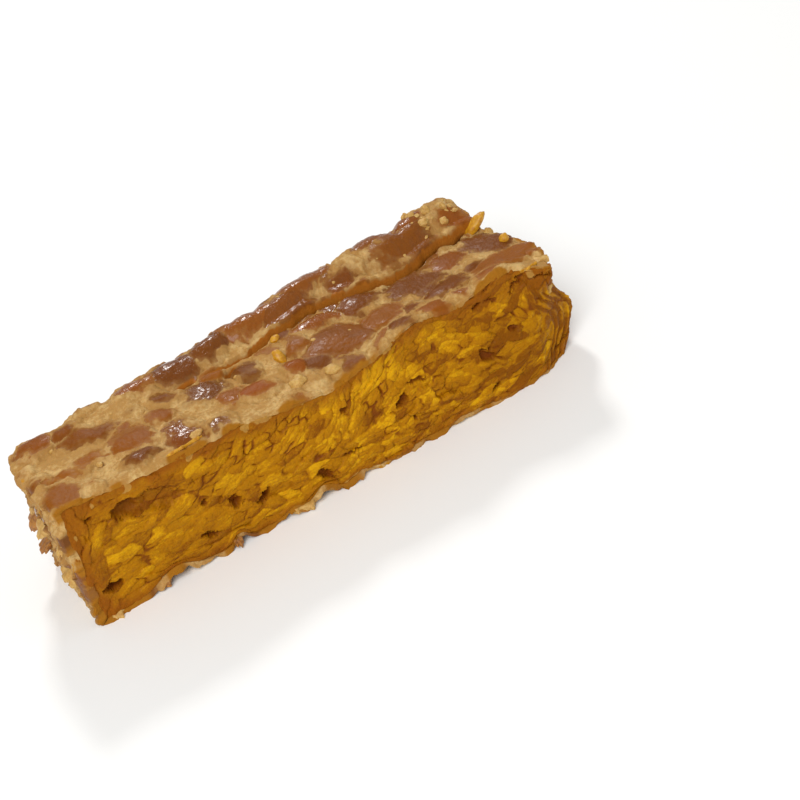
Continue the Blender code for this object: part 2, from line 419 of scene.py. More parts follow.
@dataclass(frozen=True)
class Bean:
    """A whole bean in the top skin.

    Attributes:
        x: its place along the slab.
        y: its place across it.
        half_length: half its bare patch's length.
        half_width: half the patch's width.
        turn: the way it points, in degrees from the slab's length.
        wet: 1 if it shines, 0 if it is dull.
        red: 1 if it is reddish, 0 if it is a greyish brown.
    """

    x: float
    y: float
    half_length: float
    half_width: float
    turn: float = 0.0
    wet: float = 0.0
    red: float = 0.3


TOP_BEANS: tuple[Bean, ...] = (
    Bean(-0.0640, 0.0030, 0.0052, 0.0034, 10, 0.1, 0.6),
    Bean(-0.0565, 0.0020, 0.0040, 0.0028, -10, 0.1, 0.5),
    Bean(-0.0505, 0.0068, 0.0034, 0.0026, 20, 1.0, 0.6),
    Bean(-0.0520, -0.0028, 0.0072, 0.0032, -5, 0.0, 0.4),
    Bean(-0.0590, -0.0135, 0.0078, 0.0024, 6, 0.0, 0.1),
    Bean(-0.0450, -0.0130, 0.0050, 0.0048, 0, 0.0, 0.3),
    Bean(-0.0360, -0.0080, 0.0037, 0.0028, 0, 0.0, 0.3),
    Bean(-0.0340, -0.0180, 0.0050, 0.0042, -20, 0.8, 0.8),
    Bean(-0.0660, -0.0200, 0.0046, 0.0034, 30, 0.0, 0.2),
    Bean(-0.0470, -0.0205, 0.0042, 0.0020, 0, 0.2, 0.5),
    Bean(-0.0230, -0.0065, 0.0054, 0.0046, -30, 0.7, 0.3),
    Bean(-0.0185, -0.0130, 0.0038, 0.0032, 0, 0.2, 0.3),
    Bean(-0.0105, -0.0055, 0.0036, 0.0036, 60, 0.0, 0.2),
    Bean(-0.0125, -0.0150, 0.0050, 0.0030, 0, 0.0, 0.9),
    Bean(-0.0010, -0.0135, 0.0034, 0.0030, 30, 0.1, 0.8),
    Bean(-0.0360, 0.0060, 0.0062, 0.0038, 10, 0.7, 0.5),
    Bean(-0.0250, 0.0070, 0.0056, 0.0048, 0, 0.9, 0.7),
    Bean(-0.0140, 0.0085, 0.0052, 0.0044, 40, 0.9, 0.4),
    Bean(-0.0010, 0.0115, 0.0068, 0.0050, 0, 0.8, 0.4),
    Bean(0.0130, -0.0120, 0.0078, 0.0062, -10, 0.1, 0.3),
    Bean(0.0280, -0.0115, 0.0068, 0.0054, 0, 0.1, 0.2),
    Bean(0.0405, -0.0035, 0.0084, 0.0064, 10, 0.1, 0.4),
    Bean(0.0255, 0.0005, 0.0058, 0.0042, 0, 0.4, 0.7),
    Bean(0.0525, 0.0005, 0.0062, 0.0046, 10, 0.2, 0.6),
    Bean(0.0125, 0.0000, 0.0066, 0.0028, 0, 1.0, 0.6),
    Bean(0.0040, -0.0050, 0.0042, 0.0032, 80, 0.1, 0.2),
    Bean(0.0630, 0.0000, 0.0066, 0.0056, 60, 0.3, 0.5),
    Bean(0.0610, -0.0125, 0.0090, 0.0050, 12, 0.0, 0.2),
    Bean(0.0455, -0.0135, 0.0062, 0.0046, 30, 0.1, 0.7),
    Bean(0.0080, 0.0085, 0.0082, 0.0044, 15, 1.0, 0.4),
    Bean(0.0180, 0.0165, 0.0080, 0.0050, 10, 0.9, 0.4),
    Bean(0.0265, 0.0100, 0.0042, 0.0034, 0, 1.0, 0.7),
    Bean(0.0480, 0.0115, 0.0104, 0.0052, 5, 0.6, 0.3),
    Bean(0.0640, 0.0140, 0.0054, 0.0046, 0, 0.4, 0.6),
    Bean(0.0400, 0.0190, 0.0070, 0.0036, 10, 0.8, 0.5),
    Bean(0.0540, 0.0200, 0.0044, 0.0030, 0, 1.0, 0.6),
)


@dataclass(frozen=True)
class Patch:
    """A patch of thick mould on the top: its place, and how far it reaches along and across."""

    x: float
    y: float
    half_x: float
    half_y: float


@dataclass(frozen=True)
class Slit:
    """A short slit in the top: its place, half its length and the way it points, in degrees."""

    x: float
    y: float
    half: float
    turn: float


MOULD_PATCHES: tuple[Patch, ...] = (
    Patch(-0.0640, -0.0050, 0.0060, 0.0034),
    Patch(-0.0300, -0.0165, 0.0048, 0.0040),
    Patch(-0.0240, -0.0125, 0.0030, 0.0036),
    Patch(-0.0060, -0.0190, 0.0070, 0.0036),
    Patch(-0.0070, -0.0110, 0.0036, 0.0030),
    Patch(0.0060, -0.0215, 0.0060, 0.0026),
    Patch(0.0360, -0.0150, 0.0030, 0.0030),
    Patch(0.0550, -0.0060, 0.0026, 0.0018),
    Patch(-0.0080, 0.0020, 0.0050, 0.0022),
    Patch(-0.0420, 0.0020, 0.0060, 0.0022),
    Patch(-0.0560, -0.0200, 0.0050, 0.0030),
    Patch(0.0330, 0.0140, 0.0028, 0.0024),
    Patch(0.0680, 0.0240, 0.0050, 0.0050),
)


@dataclass
class LaidBean:
    """A bean where it lies on the rounded block, with the directions of its length, width and way out."""

    middle: Array
    axes: Array
    halves: Array
    rise: float
    bare: float
    wet: float
    red: float


@dataclass
class SkinField:
    """What the mould skin is like at each point.

    Attributes:
        rise: how far it stands proud of the block.
        bare: above 0 where a bean shows bare, below 0 under mould.
        wet: 1 where it shines.
        red: 1 where a bean is reddish, 0 where it is greyish.
        tone: a shade for each bean, from 0 to 1.
        wall: 1 in the split and in the slits; the split's wall reaches 0.55, and the higher values at its
            foot and in the slits paint dark shade.
        rim: 1 next to a cut.
    """

    rise: Array
    bare: Array
    wet: Array
    red: Array
    tone: Array
    wall: Array
    rim: Array


@dataclass
class BeanBed:
    """The layer of whole beans under the mould skin, on all of its sides.

    Attributes:
        form: the slab that it lies on.
        seed: the seed of its draws.
        pitch: how far apart the beans lie.
        dome: how far a bean stands proud.
        mould: how thick the mould between them is.
        stray: how far the beans' outlines stray.
        slit_depth: how deep a slit in the top is.
        hollow: the place across and up the left end where a bean fell out.
        hollow_half: how far that hollow reaches each way.
        hollow_depth: how deep it is.
        slits: the slits in the top.
        beans: the beans, as they are laid.
    """

    form: SlabForm
    seed: int = 5
    pitch: float = 0.0092
    dome: float = 0.0019
    mould: float = 0.00055
    stray: float = 0.0013
    slit_depth: float = 0.0016
    hollow: tuple[float, float] = (0.0024, 0.0262)
    hollow_half: tuple[float, float] = (0.0044, 0.0028)
    hollow_depth: float = 0.0026
    slits: tuple[Slit, ...] = (
        Slit(-0.0260, 0.0004, 0.0052, 14.0),
        Slit(-0.0135, -0.0016, 0.0034, 32.0),
    )
    beans: list[LaidBean] = field(default_factory=list)

    def __post_init__(self) -> None:
        """Lays the chosen beans of the top, and fills the gaps and the other sides at random."""
        rng = np.random.default_rng(self.seed)
        for bean in TOP_BEANS:
            height = float(self.form.height_at(np.array(bean.x)))
            self._lay(
                np.array([bean.x, bean.y, height - 0.0002]),
                np.array([1.0, 0.0, 0.0]),
                Side.TOP.out,
                (bean.half_length * 1.26, bean.half_width * 1.30),
                math.radians(bean.turn),
                (rng.uniform(0.70, 1.0), 0.90, bean.wet, bean.red),
            )
        for side, rows in ((Side.TOP, 7), (Side.BACK, 6), (Side.UNDER, 7), (Side.LEFT, 6)):
            self._fill(side, rows, rng)

    def _lay(
        self,
        middle: Array,
        along: Array,
        out: Array,
        halves: tuple[float, float],
        turn: float,
        looks: tuple[float, float, float, float],
    ) -> None:
        """Adds a bean.

        Args:
            middle: its place on the block.
            along: the direction from which it is turned.
            out: the way out of the block there.
            halves: half its length and half its width.
            turn: the angle it is turned by, about the way out.
            looks: its rise as a share, how much of it is bare, how wet it is and how red.
        """
        across = np.cross(out, along)
        length_way = along * math.cos(turn) + across * math.sin(turn)
        axes = np.stack([length_way, np.cross(out, length_way), out])
        sizes = np.array([halves[0], halves[1], max(halves[1], 0.0045)])
        rise, bare, wet, red = looks
        self.beans.append(LaidBean(middle, axes, sizes, rise, bare, wet, red))

    def _fill(self, side: Side, rows: int, rng: np.random.Generator) -> None:
        """Fills a side with beans on an uneven grid, leaving out those that land on another."""
        columns = 4 if side is Side.LEFT else int(self.form.length / self.pitch) + 1
        along = np.array([0.0, 1.0, 0.0] if side is Side.LEFT else [1.0, 0.0, 0.0])
        room = 0.86 if side is Side.TOP else 0.84
        for row, column in np.ndindex(rows, columns):
            share = (row + 0.5 + rng.uniform(-0.3, 0.3)) / rows
            step = (column + 0.5 * (row % 2) + rng.uniform(-0.1, 0.5)) / columns
            size = rng.uniform(0.0040, 0.0062)
            slim = rng.uniform(0.62, 0.85)
            turn = rng.normal(0.0, 0.6)
            bare = rng.uniform(0.25, 0.95)
            looks = (rng.uniform(0.5, 1.0), bare, float(rng.uniform() < 0.15), rng.uniform(0.0, 0.8))
            middle = self._place(side, step, share)
            if all(self._gap(middle, size, other) > room for other in self.beans):
                self._lay(middle, along, side.out, (size, size * slim), turn, looks)

    def _place(self, side: Side, step: float, share: float) -> Array:
        """The place on a side, for a share of the way along it and one of the way across or up it."""
        form = self.form
        x = -form.length / 2.0 + form.length * step
        width, height = float(form.width_at(np.array(x))), float(form.height_at(np.array(x)))
        if side is Side.LEFT:
            y = form.front_y + form.width_left * step
            return np.array([-form.length / 2.0, y, form.height_left * share])
        if side is Side.BACK:
            return np.array([x, form.front_y + width, height * share])
        return np.array([x, form.front_y + width * share, height if side is Side.TOP else 0.0])

    @staticmethod
    def _gap(middle: Array, size: float, other: LaidBean) -> float:
        """How far a place is from a bean, as a share of the room that the two take up."""
        return np.linalg.norm(middle - other.middle) / (0.6 * (size + other.halves[0]))

    def read(self, surface: Surface) -> SkinField:
        """What the skin is like on a surface.

        Args:
            surface: points on the block.

        Returns:
            The skin at each of them.
        """
        flat = surface.flat
        warp = np.stack([GRAIN.rough(flat, 0.0045, salt) for salt in (1.0, 2.0, 3.0)], axis=1) * self.stray
        skin, second = self._nearest(flat + warp)
        bare = self._bareness(surface, flat + warp, skin.bare, second)
        slits = self._slits(surface)
        hollow = self._hollow(surface, flat + 1.6 * warp)
        # The slits are painted with dark shade, as the split's foot is.
        wall = np.maximum(self._wall(surface), slits * 0.8)
        lumps = 0.55 + 0.45 * GRAIN.rough(flat, 0.0026, 12.0) + 0.30 * GRAIN.at(flat, 0.0009, 15.0)
        cover = self.mould * (1.0 + 1.6 * surface.steep) * lumps * smooth(0.12, -0.12, bare) * (1.0 - wall)
        fine = (0.00006 + 0.00006 * skin.wet) * GRAIN.at(flat, 0.0007, 18.0)
        skin.rise = skin.rise * self.dome + cover + fine
        skin.rise = skin.rise - self.slit_depth * slits - self.hollow_depth * hollow
        skin.bare = bare
        skin.wet = skin.wet * smooth(0.0, 0.3, bare)
        # The left end's hollow takes the torn wall's colour and a little painted shade.
        skin.wall = np.maximum(wall, 0.62 * smooth(0.30, 0.90, hollow))
        to_front = flat[:, 1] - self.form.front_y
        to_cut = np.minimum(to_front, self.form.length / 2.0 - flat[:, 0])
        skin.rim = smooth(0.0008, 0.0003, to_cut + 0.0010 * GRAIN.rough(flat, 0.0050, 21.0))
        return skin

    def _nearest(self, places: Array) -> tuple[SkinField, Array]:
        """Finds the bean that lies at each place.

        Args:
            places: places on the block, strayed.

        Returns:
            The beans' looks there, with a rise from 0 to 1; and how bare the next bean would be.
        """
        starts = {"rise": 0.0, "bare": -0.60, "wet": 0.0, "red": 0.3, "tone": 0.5, "wall": 0.0, "rim": 0.0}
        skin = SkinField(**{name: np.full(len(places), start) for name, start in starts.items()})
        second = skin.bare.copy()
        rng = np.random.default_rng(self.seed + 1)
        for bean in self.beans:
            shade = rng.uniform()
            near = np.flatnonzero(np.abs(places[:, 0] - bean.middle[0]) < bean.halves[0] * 1.3)
            local = (places[near] - bean.middle) @ bean.axes.T / bean.halves
            spread = np.sqrt((local**2).sum(axis=1))
            dome = np.sqrt(np.clip(1.0 - spread**2, 0.0, 1.0)) * bean.rise
            skin.rise[near] = np.maximum(skin.rise[near], dome)
            clear = (bean.bare - spread) * 1.6
            better = clear > skin.bare[near]
            second[near] = np.where(better, skin.bare[near], np.maximum(second[near], clear))
            wins = near[better]
            skin.bare[wins] = clear[better]
            skin.wet[wins], skin.red[wins], skin.tone[wins] = bean.wet, bean.red, shade
        return skin, second

    @staticmethod
    def _bareness(surface: Surface, places: Array, bare: Array, second: Array) -> Array:
        """How bare the skin is under the mould that has grown over it.

        Args:
            surface: points on the block.
            places: the same points, strayed.
            bare: how bare the bean at each point is.
            second: how bare the next bean would be.

        Returns:
            Above 0 where a bean shows, below 0 under mould.
        """
        flat = surface.flat
        bare = bare - 0.20 * smooth(0.20, 0.0, bare - second) + 0.12
        bare = bare + 0.48 * GRAIN.rough(flat * np.array([0.6, 1.0, 1.0]), 0.0036, 6.0)
        bare = bare + 0.20 * GRAIN.at(flat, 0.0008, 9.0) - 0.16 * smooth(-0.035, -0.055, flat[:, 0])
        bare = bare - 0.55 * smooth(0.10, 0.90, GRAIN.rough(flat * np.array([0.7, 1.0, 1.0]), 0.0095, 5.0))
        for patch in MOULD_PATCHES:
            near = bell(places[:, 0], patch.x, patch.half_x) * bell(places[:, 1], patch.y, patch.half_y)
            bare = bare - 0.85 * near * surface.on_top
        return bare

    def _hollow(self, surface: Surface, places: Array) -> Array:
        """How deep each strayed place lies in the hollow of the left end, from 0 to 1."""
        (y, z), (half_y, half_z) = self.hollow, self.hollow_half
        hollow = bell(places[:, 1], y, half_y) * bell(places[:, 2], z, half_z)
        return hollow * smooth(-0.8, -1.0, surface.out[:, 0])

    def _slits(self, surface: Surface) -> Array:
        """How near each point is to a slit in the top, 1 in it and 0 away from it."""
        near = np.zeros(len(surface.flat))
        for slit in self.slits:
            right, up = surface.flat[:, 0] - slit.x, surface.flat[:, 1] - slit.y
            along, across = turned(right, up, slit.turn)
            within = smooth(slit.half, slit.half * 0.5, np.abs(along))
            near = np.maximum(near, bell(across, 0.0, 0.0007) * within)
        return near * surface.on_top

    def _wall(self, surface: Surface) -> Array:
        """How far each point lies on the wall of the split, where the inside of the cake shows, and at its
        foot, where it paints shade.
        """
        away = self.form.from_split(surface.flat)
        opening = smooth(self.form.split_start[0] + 0.004, 0.020, surface.flat[:, 0])
        ragged = 0.0005 * GRAIN.rough(surface.flat, 0.0026, 24.0)
        # The split's foot, up to 1: the finish paints a dark line of shade there.
        foot = bell(away, -0.0004, 0.0004 + 0.0003 * opening) * (0.55 + 0.45 * opening)
        band = smooth(-0.0007, -0.0004, away) * smooth(0.0005 + 0.0002 * opening, 0.0001, away + ragged)
        return np.maximum(0.55 * band, foot) * surface.on_top * smooth(0.0, 0.2, opening)


@dataclass
class CutField:
    """What the cut is like at each point.

    Attributes:
        rise: how far it stands proud of the block.
        tone: a shade for each split bean, from 0, deep ochre, to 1, bright yellow, with painted shade in the
            seams, across each chip and on the ribs.
        crack_shade: 1 where painted shade darkens the open seams and the pits.
        rim: 1 next to the skin.
        pale: 1 where mould fills the gap between two beans.
    """

    rise: Array
    tone: Array
    crack_shade: Array
    rim: Array
    pale: Array


@dataclass(frozen=True)
class Chip:
    """A split bean in the cut: its place along and up the cut, its size, the way it points and its shade."""

    s: float
    z: float
    half_length: float
    half_width: float
    turn: float
    weight: float
    tone: float


@dataclass
class ChipField:
    """Which chip lies at each point of the cut, and how it lies.

    Attributes:
        seam: 1 where two chips meet, 0 well inside one.
        tone: the chip's shade, with painted shading across its width, lighter on one side and darker on the
            other.
        level: how far it stands out of the cut.
        along: how far the point lies along the chip from its middle.
        side: how far it lies across it.
    """

    seam: Array
    tone: Array
    level: Array
    along: Array
    side: Array


@dataclass(frozen=True)
class Pit:
    """A gap in the cut where a bean fell out: its place, half sizes, depth, turn in degrees and painted
    shade.
    """

    s: float
    z: float
    half_length: float
    half_width: float
    depth: float
    turn: float
    dark: float = 1.0


LARGE_CHIPS: tuple[Chip, ...] = (
    Chip(0.0530, 0.0125, 0.0056, 0.0032, 8, 0.5, 0.95),
    Chip(-0.0590, 0.0105, 0.0072, 0.0024, 8, 0.5, 0.62),
    Chip(-0.0440, 0.0185, 0.0070, 0.0024, 22, 0.5, 0.85),
    Chip(-0.0450, 0.0050, 0.0075, 0.0022, -6, 0.4, 0.45),
    Chip(-0.0100, 0.0205, 0.0055, 0.0026, 30, 0.4, 0.75),
    Chip(-0.0240, 0.0270, 0.0050, 0.0024, 60, 0.4, 0.55),
    Chip(0.0270, 0.0125, 0.0048, 0.0020, -66, 0.5, 0.80),
    Chip(0.0120, 0.0120, 0.0070, 0.0014, 4, 0.5, 0.85),
    Chip(-0.0350, 0.0130, 0.0055, 0.0020, -20, 0.4, 0.50),
)
PITS: tuple[Pit, ...] = (
    Pit(-0.0545, 0.0270, 0.0038, 0.0032, 0.0040, 0, 0.80),
    Pit(-0.0475, 0.0255, 0.0080, 0.0029, 0.0026, -24, 0.60),
    Pit(-0.0648, 0.0083, 0.0028, 0.0012, 0.0034, 5),
    Pit(-0.0640, 0.0288, 0.0014, 0.0007, 0.0020, 0),
    Pit(-0.0365, 0.0176, 0.0012, 0.0009, 0.0020, -50),
    Pit(-0.0297, 0.0132, 0.0013, 0.0022, 0.0026, 20),
    Pit(-0.0385, 0.0080, 0.0030, 0.0008, 0.0026, -24),
    Pit(-0.0225, 0.0100, 0.0022, 0.0014, 0.0030, 30),
    Pit(-0.0055, 0.0065, 0.0032, 0.0008, 0.0024, -32),
    Pit(0.0040, 0.0222, 0.0015, 0.0012, 0.0018, 20),
    Pit(0.0200, 0.0152, 0.0024, 0.0017, 0.0030, 50),
    Pit(0.0255, 0.0178, 0.0036, 0.0005, 0.0016, -12),
    Pit(0.0332, 0.0305, 0.0011, 0.0006, 0.0022, -35),
    Pit(0.0482, 0.0252, 0.0017, 0.0007, 0.0022, 14),
    Pit(0.0522, 0.0246, 0.0022, 0.0004, 0.0012, -10),
    Pit(0.0455, 0.0140, 0.0014, 0.0026, 0.0026, 26),
    Pit(0.0542, 0.0170, 0.0015, 0.0006, 0.0020, 10),
    Pit(0.0450, 0.0048, 0.0018, 0.0012, 0.0026, 10),
    Pit(0.0670, 0.0034, 0.0024, 0.0007, 0.0020, 6),
    Pit(0.0030, 0.0090, 0.0040, 0.0005, 0.0014, 10),
    Pit(0.0225, 0.0088, 0.0012, 0.0006, 0.0014, -30),
    Pit(0.0600, 0.0250, 0.0034, 0.0004, 0.0014, 34, 0.9),
    Pit(0.0668, 0.0262, 0.0040, 0.0004, 0.0014, 2, 0.9),
    Pit(0.0520, 0.0282, 0.0016, 0.0008, 0.0012, 20, 0.7),
    Pit(0.0580, 0.0285, 0.0014, 0.0009, 0.0012, -10, 0.7),
    Pit(0.0850, 0.0180, 0.0024, 0.0012, 0.0028, 40),
    Pit(0.1020, 0.0080, 0.0030, 0.0010, 0.0026, -15),
    Pit(0.1060, 0.0240, 0.0020, 0.0012, 0.0026, 20),
)


@dataclass(frozen=True)
class ChipSize:
    """One size of chips in the cut.

    Attributes:
        pitch: how far apart they lie.
        half: about half a chip's length.
        slim: the least and the most of a chip's width to its length.
        step: how far a chip stands in or out, as a rule.
        seam: how far a seam reaches into a chip.
    """

    pitch: float
    half: float
    slim: tuple[float, float]
    step: float
    seam: float


COARSE = ChipSize(0.0034, 0.0040, (0.32, 0.52), 0.00015, 0.42)
FINE = ChipSize(0.0019, 0.0022, (0.34, 0.62), 0.00009, 0.36)


@dataclass
class ChipWall:
    """Split beans pressed into one another, as the knife left them on the cut faces.

    Places on the cut are a way along it, which runs along the front and then round the right end,
    and a height.

    Attributes:
        form: the slab that they lie in.
        seed: the seed of the draws.
        height: how far up the grids of chips run.
        rib_pitch: how far apart the upright ribs of the right end are.
        chips: the chips, as they are laid.
        flakes: the small flakes on them.
    """

    form: SlabForm
    seed: int = 21
    height: float = 0.037
    rib_pitch: float = 0.0021
    chips: list[Chip] = field(default_factory=list)
    flakes: list[Chip] = field(default_factory=list)

    def __post_init__(self) -> None:
        """Lays the chosen large chips, and the other chips and the flakes on uneven grids."""
        rng = np.random.default_rng(self.seed)
        self.chips.extend(LARGE_CHIPS)
        self.chips.extend(self._grid(rng, COARSE))
        self.flakes.extend(self._grid(rng, FINE))

    def _grid(self, rng: np.random.Generator, size: ChipSize) -> list[Chip]:
        """Lays chips on an uneven grid, turned as their neighbours are.

        Args:
            rng: draws their places, sizes and shades.
            size: their size.

        Returns:
            The chips.
        """
        laid = []
        columns = int((self.form.length + self.form.width_right) / size.pitch) + 1
        rows = int(self.height / size.pitch) + 1
        for column, row in np.ndindex(columns, rows):
            s = -self.form.length / 2.0 + (column + rng.uniform(0.0, 1.0)) * size.pitch
            z = (row + 0.5 * (column % 2) + rng.uniform(-0.4, 0.4)) * size.pitch
            half = size.half * rng.uniform(0.8, 1.25)
            thin = rng.uniform(*size.slim)
            turn = self._turn(s, z) + rng.normal(0.0, 10.0)
            weight = rng.normal(0.0, 0.35)
            tone = float(np.clip(rng.normal(0.52, 0.32), 0.14, 1.08))
            laid.append(Chip(s, z, half, half * thin, turn, weight, tone))
        return laid

    def _cover(self, chips: Sequence[Chip], size: ChipSize, s: Array, z: Array) -> ChipField:
        """Finds the chip at each place.

        Args:
            chips: chips of one size.
            size: that size.
            s: places along the cut.
            z: their heights.

        Returns:
            The chip at each place.
        """
        best, second = np.full(len(s), -99.0), np.full(len(s), -99.0)
        found = ChipField(*(np.zeros(len(s)) for _ in range(5)))
        rng = np.random.default_rng(self.seed + 1)
        for chip in chips:
            offset, tilt = rng.normal(0.0, size.step, 2)
            far = 2.6 * chip.half_length
            near = np.flatnonzero((np.abs(s - chip.s) < far) & (np.abs(z - chip.z) < far))
            along, across = turned(s[near] - chip.s, z[near] - chip.z, chip.turn)
            lengthwise, sideways = along / chip.half_length, across / chip.half_width
            spread = lengthwise**2 + sideways**2
            value = chip.weight - spread
            wins = value > best[near]
            second[near] = np.where(wins, best[near], np.maximum(second[near], value))
            won = near[wins]
            best[won] = value[wins]
            dome = 1.3 * size.step * (1.0 - np.minimum(spread[wins], 1.6))
            # Painted shading: each chip is lighter on one side and darker on the other, as if lit from that
            # side.
            found.tone[won] = chip.tone + 0.17 * sideways[wins]
            found.level[won] = offset + tilt * sideways[wins] + dome
            found.along[won] = lengthwise[wins] * chip.half_length
            found.side[won] = sideways[wins] * chip.half_width
        found.seam = smooth(size.seam, 0.0, best - second)
        return found

    def _turn(self, s: float, z: float) -> float:
        """The way the chips point at a place, in degrees: flat, but steep in the middle and at both ends."""
        place = np.array([[s, 0.0, z]])
        turn = 14.0 * float(GRAIN.at(place, 0.016, 30.0)[0]) + 4.0
        steep = float(bell(np.array(s), 0.002, 0.018) * smooth(0.010, 0.016, np.array(z)))
        ends = float(smooth(0.058, 0.063, np.array(s)) * smooth(0.082, 0.076, np.array(s)))
        left = float(smooth(-0.062, -0.066, np.array(s)))
        return turn + 62.0 * steep + 84.0 * max(ends, left)

    def read(self, surface: Surface) -> CutField:
        """What the cut is like on a surface.

        Args:
            surface: points on the front and on the right end of the block.

        Returns:
            The cut at each of them.
        """
        form, flat, z = self.form, surface.flat, surface.flat[:, 2]
        round_corner = np.maximum(flat[:, 1] - form.front_y, 0.0)
        s = np.where(surface.unit[:, 0] > ON_FACE, form.length / 2.0 + round_corner, flat[:, 0])
        sheet = np.stack([s, np.zeros(len(s)), z], axis=1)
        warp_s = 0.0006 * GRAIN.rough(sheet, 0.0050, 31.0) + 0.00020 * GRAIN.at(sheet, 0.0008, 35.0)
        warp_z = 0.0005 * GRAIN.rough(sheet, 0.0046, 37.0) + 0.00016 * GRAIN.at(sheet, 0.0008, 41.0)
        chips = self._cover(self.chips, COARSE, s + warp_s, z + warp_z)
        flakes = self._cover(self.flakes, FINE, s + 0.6 * warp_s, z + 0.6 * warp_z)
        seam = chips.seam
        opens = smooth(0.15, 0.85, GRAIN.rough(sheet, 0.0032, 44.0))
        fibres = np.stack([chips.along / 0.0026, chips.tone * 90.0, chips.side / 0.00034], axis=1)
        streak = GRAIN.rough(fibres, 1.0, 47.0, 2)
        crumb = GRAIN.rough(sheet, 0.0011, 49.0)
        hollow, dark = self._hollows(s + 2.0 * warp_s + 0.0004 * crumb, z + 2.0 * warp_z + 0.0004 * streak)

        # Dry crust along the top of the right end, and upright ribs under it.
        crust = smooth(0.0440, 0.0540, s) * smooth(0.0900, 0.0780, s)
        crust = crust * smooth(0.0215, 0.0245, z + 0.05 * (s - 0.06))
        ribs = smooth(0.0600, 0.0625, s) * smooth(0.0830, 0.0750, s) * (1.0 - crust)
        phase = (s + 1.2 * warp_s + 0.05 * (z - 0.012)) * 2.0 * math.pi / self.rib_pitch
        wave = np.sin(phase + 0.9 * GRAIN.at(sheet, 0.0060, 70.0))
        rib = ribs * (0.65 * wave + 0.5 * GRAIN.rough(sheet / np.array([0.0012, 1.0, 0.0080]), 1.0, 71.0, 2))
        teeth = smooth(0.0660, 0.0760, s) * (1.0 - 0.7 * smooth(0.0840, 0.0920, s))

        # The band under the skin, wider at the left; the chips are crisper at the right.
        left = smooth(0.000, -0.050, s)
        crisp = 0.40 + 0.60 * smooth(-0.030, 0.030, s)
        from_skin = self._from_skin(flat, s) + 0.0016 * GRAIN.rough(sheet, 0.0050, 52.0)
        rim = smooth(0.0058 + 0.0016 * left, 0.0004, from_skin) * (1.0 + 0.35 * left)

        level = chips.level + crisp * flakes.level
        rise = level * (1.0 - 0.5 * ribs) + 0.00007 * streak + 0.00012 * crumb + 0.00048 * rib - hollow
        rise += teeth * (0.00030 * crumb + 0.00085 * GRAIN.rough(sheet, 0.0024, 73.0))
        rise -= (0.00003 + 0.00034 * opens) * seam + 0.00006 * crisp * flakes.seam
        rise *= smooth(1.0, 0.965, np.abs(surface.unit[:, 2]))

        shade = 0.60 * chips.tone + 0.48 * crisp * (flakes.tone - 0.50) + 0.20
        shade = shade + 0.14 * streak + 0.18 * GRAIN.rough(sheet, 0.0060, 55.0)
        # Painted shade along the seams between chips and between flakes, deeper where the seams open.
        shade -= (0.08 + 0.26 * opens) * seam + 0.13 * crisp * flakes.seam
        shade -= 0.26 * smooth(0.020, 0.060, s) + 0.06 * left
        # Painted light and shade on the ribs: lighter on their ridges and darker in their furrows, as their
        # relief is; the ribbed facet and the crust are darker overall.
        shade = np.clip(shade + 0.36 * rib - 0.14 * ribs - 0.20 * crust, 0.0, 1.0)

        rim = np.maximum(rim, crust * (0.55 + 0.35 * GRAIN.rough(sheet, 0.0040, 76.0)))
        # Painted shade: the open seams and the pits are darkened towards the gap colour.
        crack_shade = np.clip(np.maximum(smooth(0.35, 0.95, seam) * opens * 0.72, dark), 0.0, 1.0)
        pale = smooth(0.62, 0.95, GRAIN.rough(sheet, 0.0052, 58.0) * (0.6 + 0.4 * rim))
        return CutField(rise, shade, crack_shade, rim, pale)

    def _from_skin(self, flat: Array, s: Array) -> Array:
        """How far each point is from the skin round the cut."""
        form, z = self.form, flat[:, 2]
        above_below = np.minimum(form.height_at(flat[:, 0]) - z, z + 0.0012)
        nearer = np.minimum(above_below, s + form.length / 2.0 + 0.0004)
        return np.minimum(nearer, form.length / 2.0 + form.width_right - s)

    @staticmethod
    def _hollows(s: Array, z: Array) -> tuple[Array, Array]:
        """How deep the pits are at each place, and how much painted shade darkens them."""
        depth, dark = np.zeros(len(s)), np.zeros(len(s))
        for pit in PITS:
            along, across = turned(s - pit.s, z - pit.z, pit.turn)
            spread = (along / pit.half_length) ** 2 + (across / pit.half_width) ** 2
            depth = np.maximum(depth, 0.75 * pit.depth * np.clip(1.0 - spread**1.5, 0.0, 1.0))
            dark = np.maximum(dark, 0.9 * pit.dark * smooth(1.45, 0.35, spread))
        return depth, dark


Value = Union["Wire", float, Sequence[float]]


class Wire:
    """A socket of a shader's graph. Sums on it add the Math nodes that they need."""

    def __init__(self, graph: "Graph", socket: bpy.types.NodeSocket) -> None:
        """Keeps the socket and its graph."""
        self.graph = graph
        self.socket = socket

    def _math(self, operation: str, first: Value, second: Value = 0.0) -> "Wire":
        """A Math node on two values."""
        return self.graph.node("ShaderNodeMath", {"operation": operation}, {0: first, 1: second})

    def __add__(self, other: Value) -> "Wire":
        """The sum."""
        return self._math("ADD", self, other)

    def __sub__(self, other: Value) -> "Wire":
        """The difference."""
        return self._math("SUBTRACT", self, other)

    def __rsub__(self, other: Value) -> "Wire":
        """The difference, from a number."""
        return self._math("SUBTRACT", other, self)

    def __mul__(self, other: Value) -> "Wire":
        """The product."""
        return self._math("MULTIPLY", self, other)

    __radd__ = __add__
    __rmul__ = __mul__


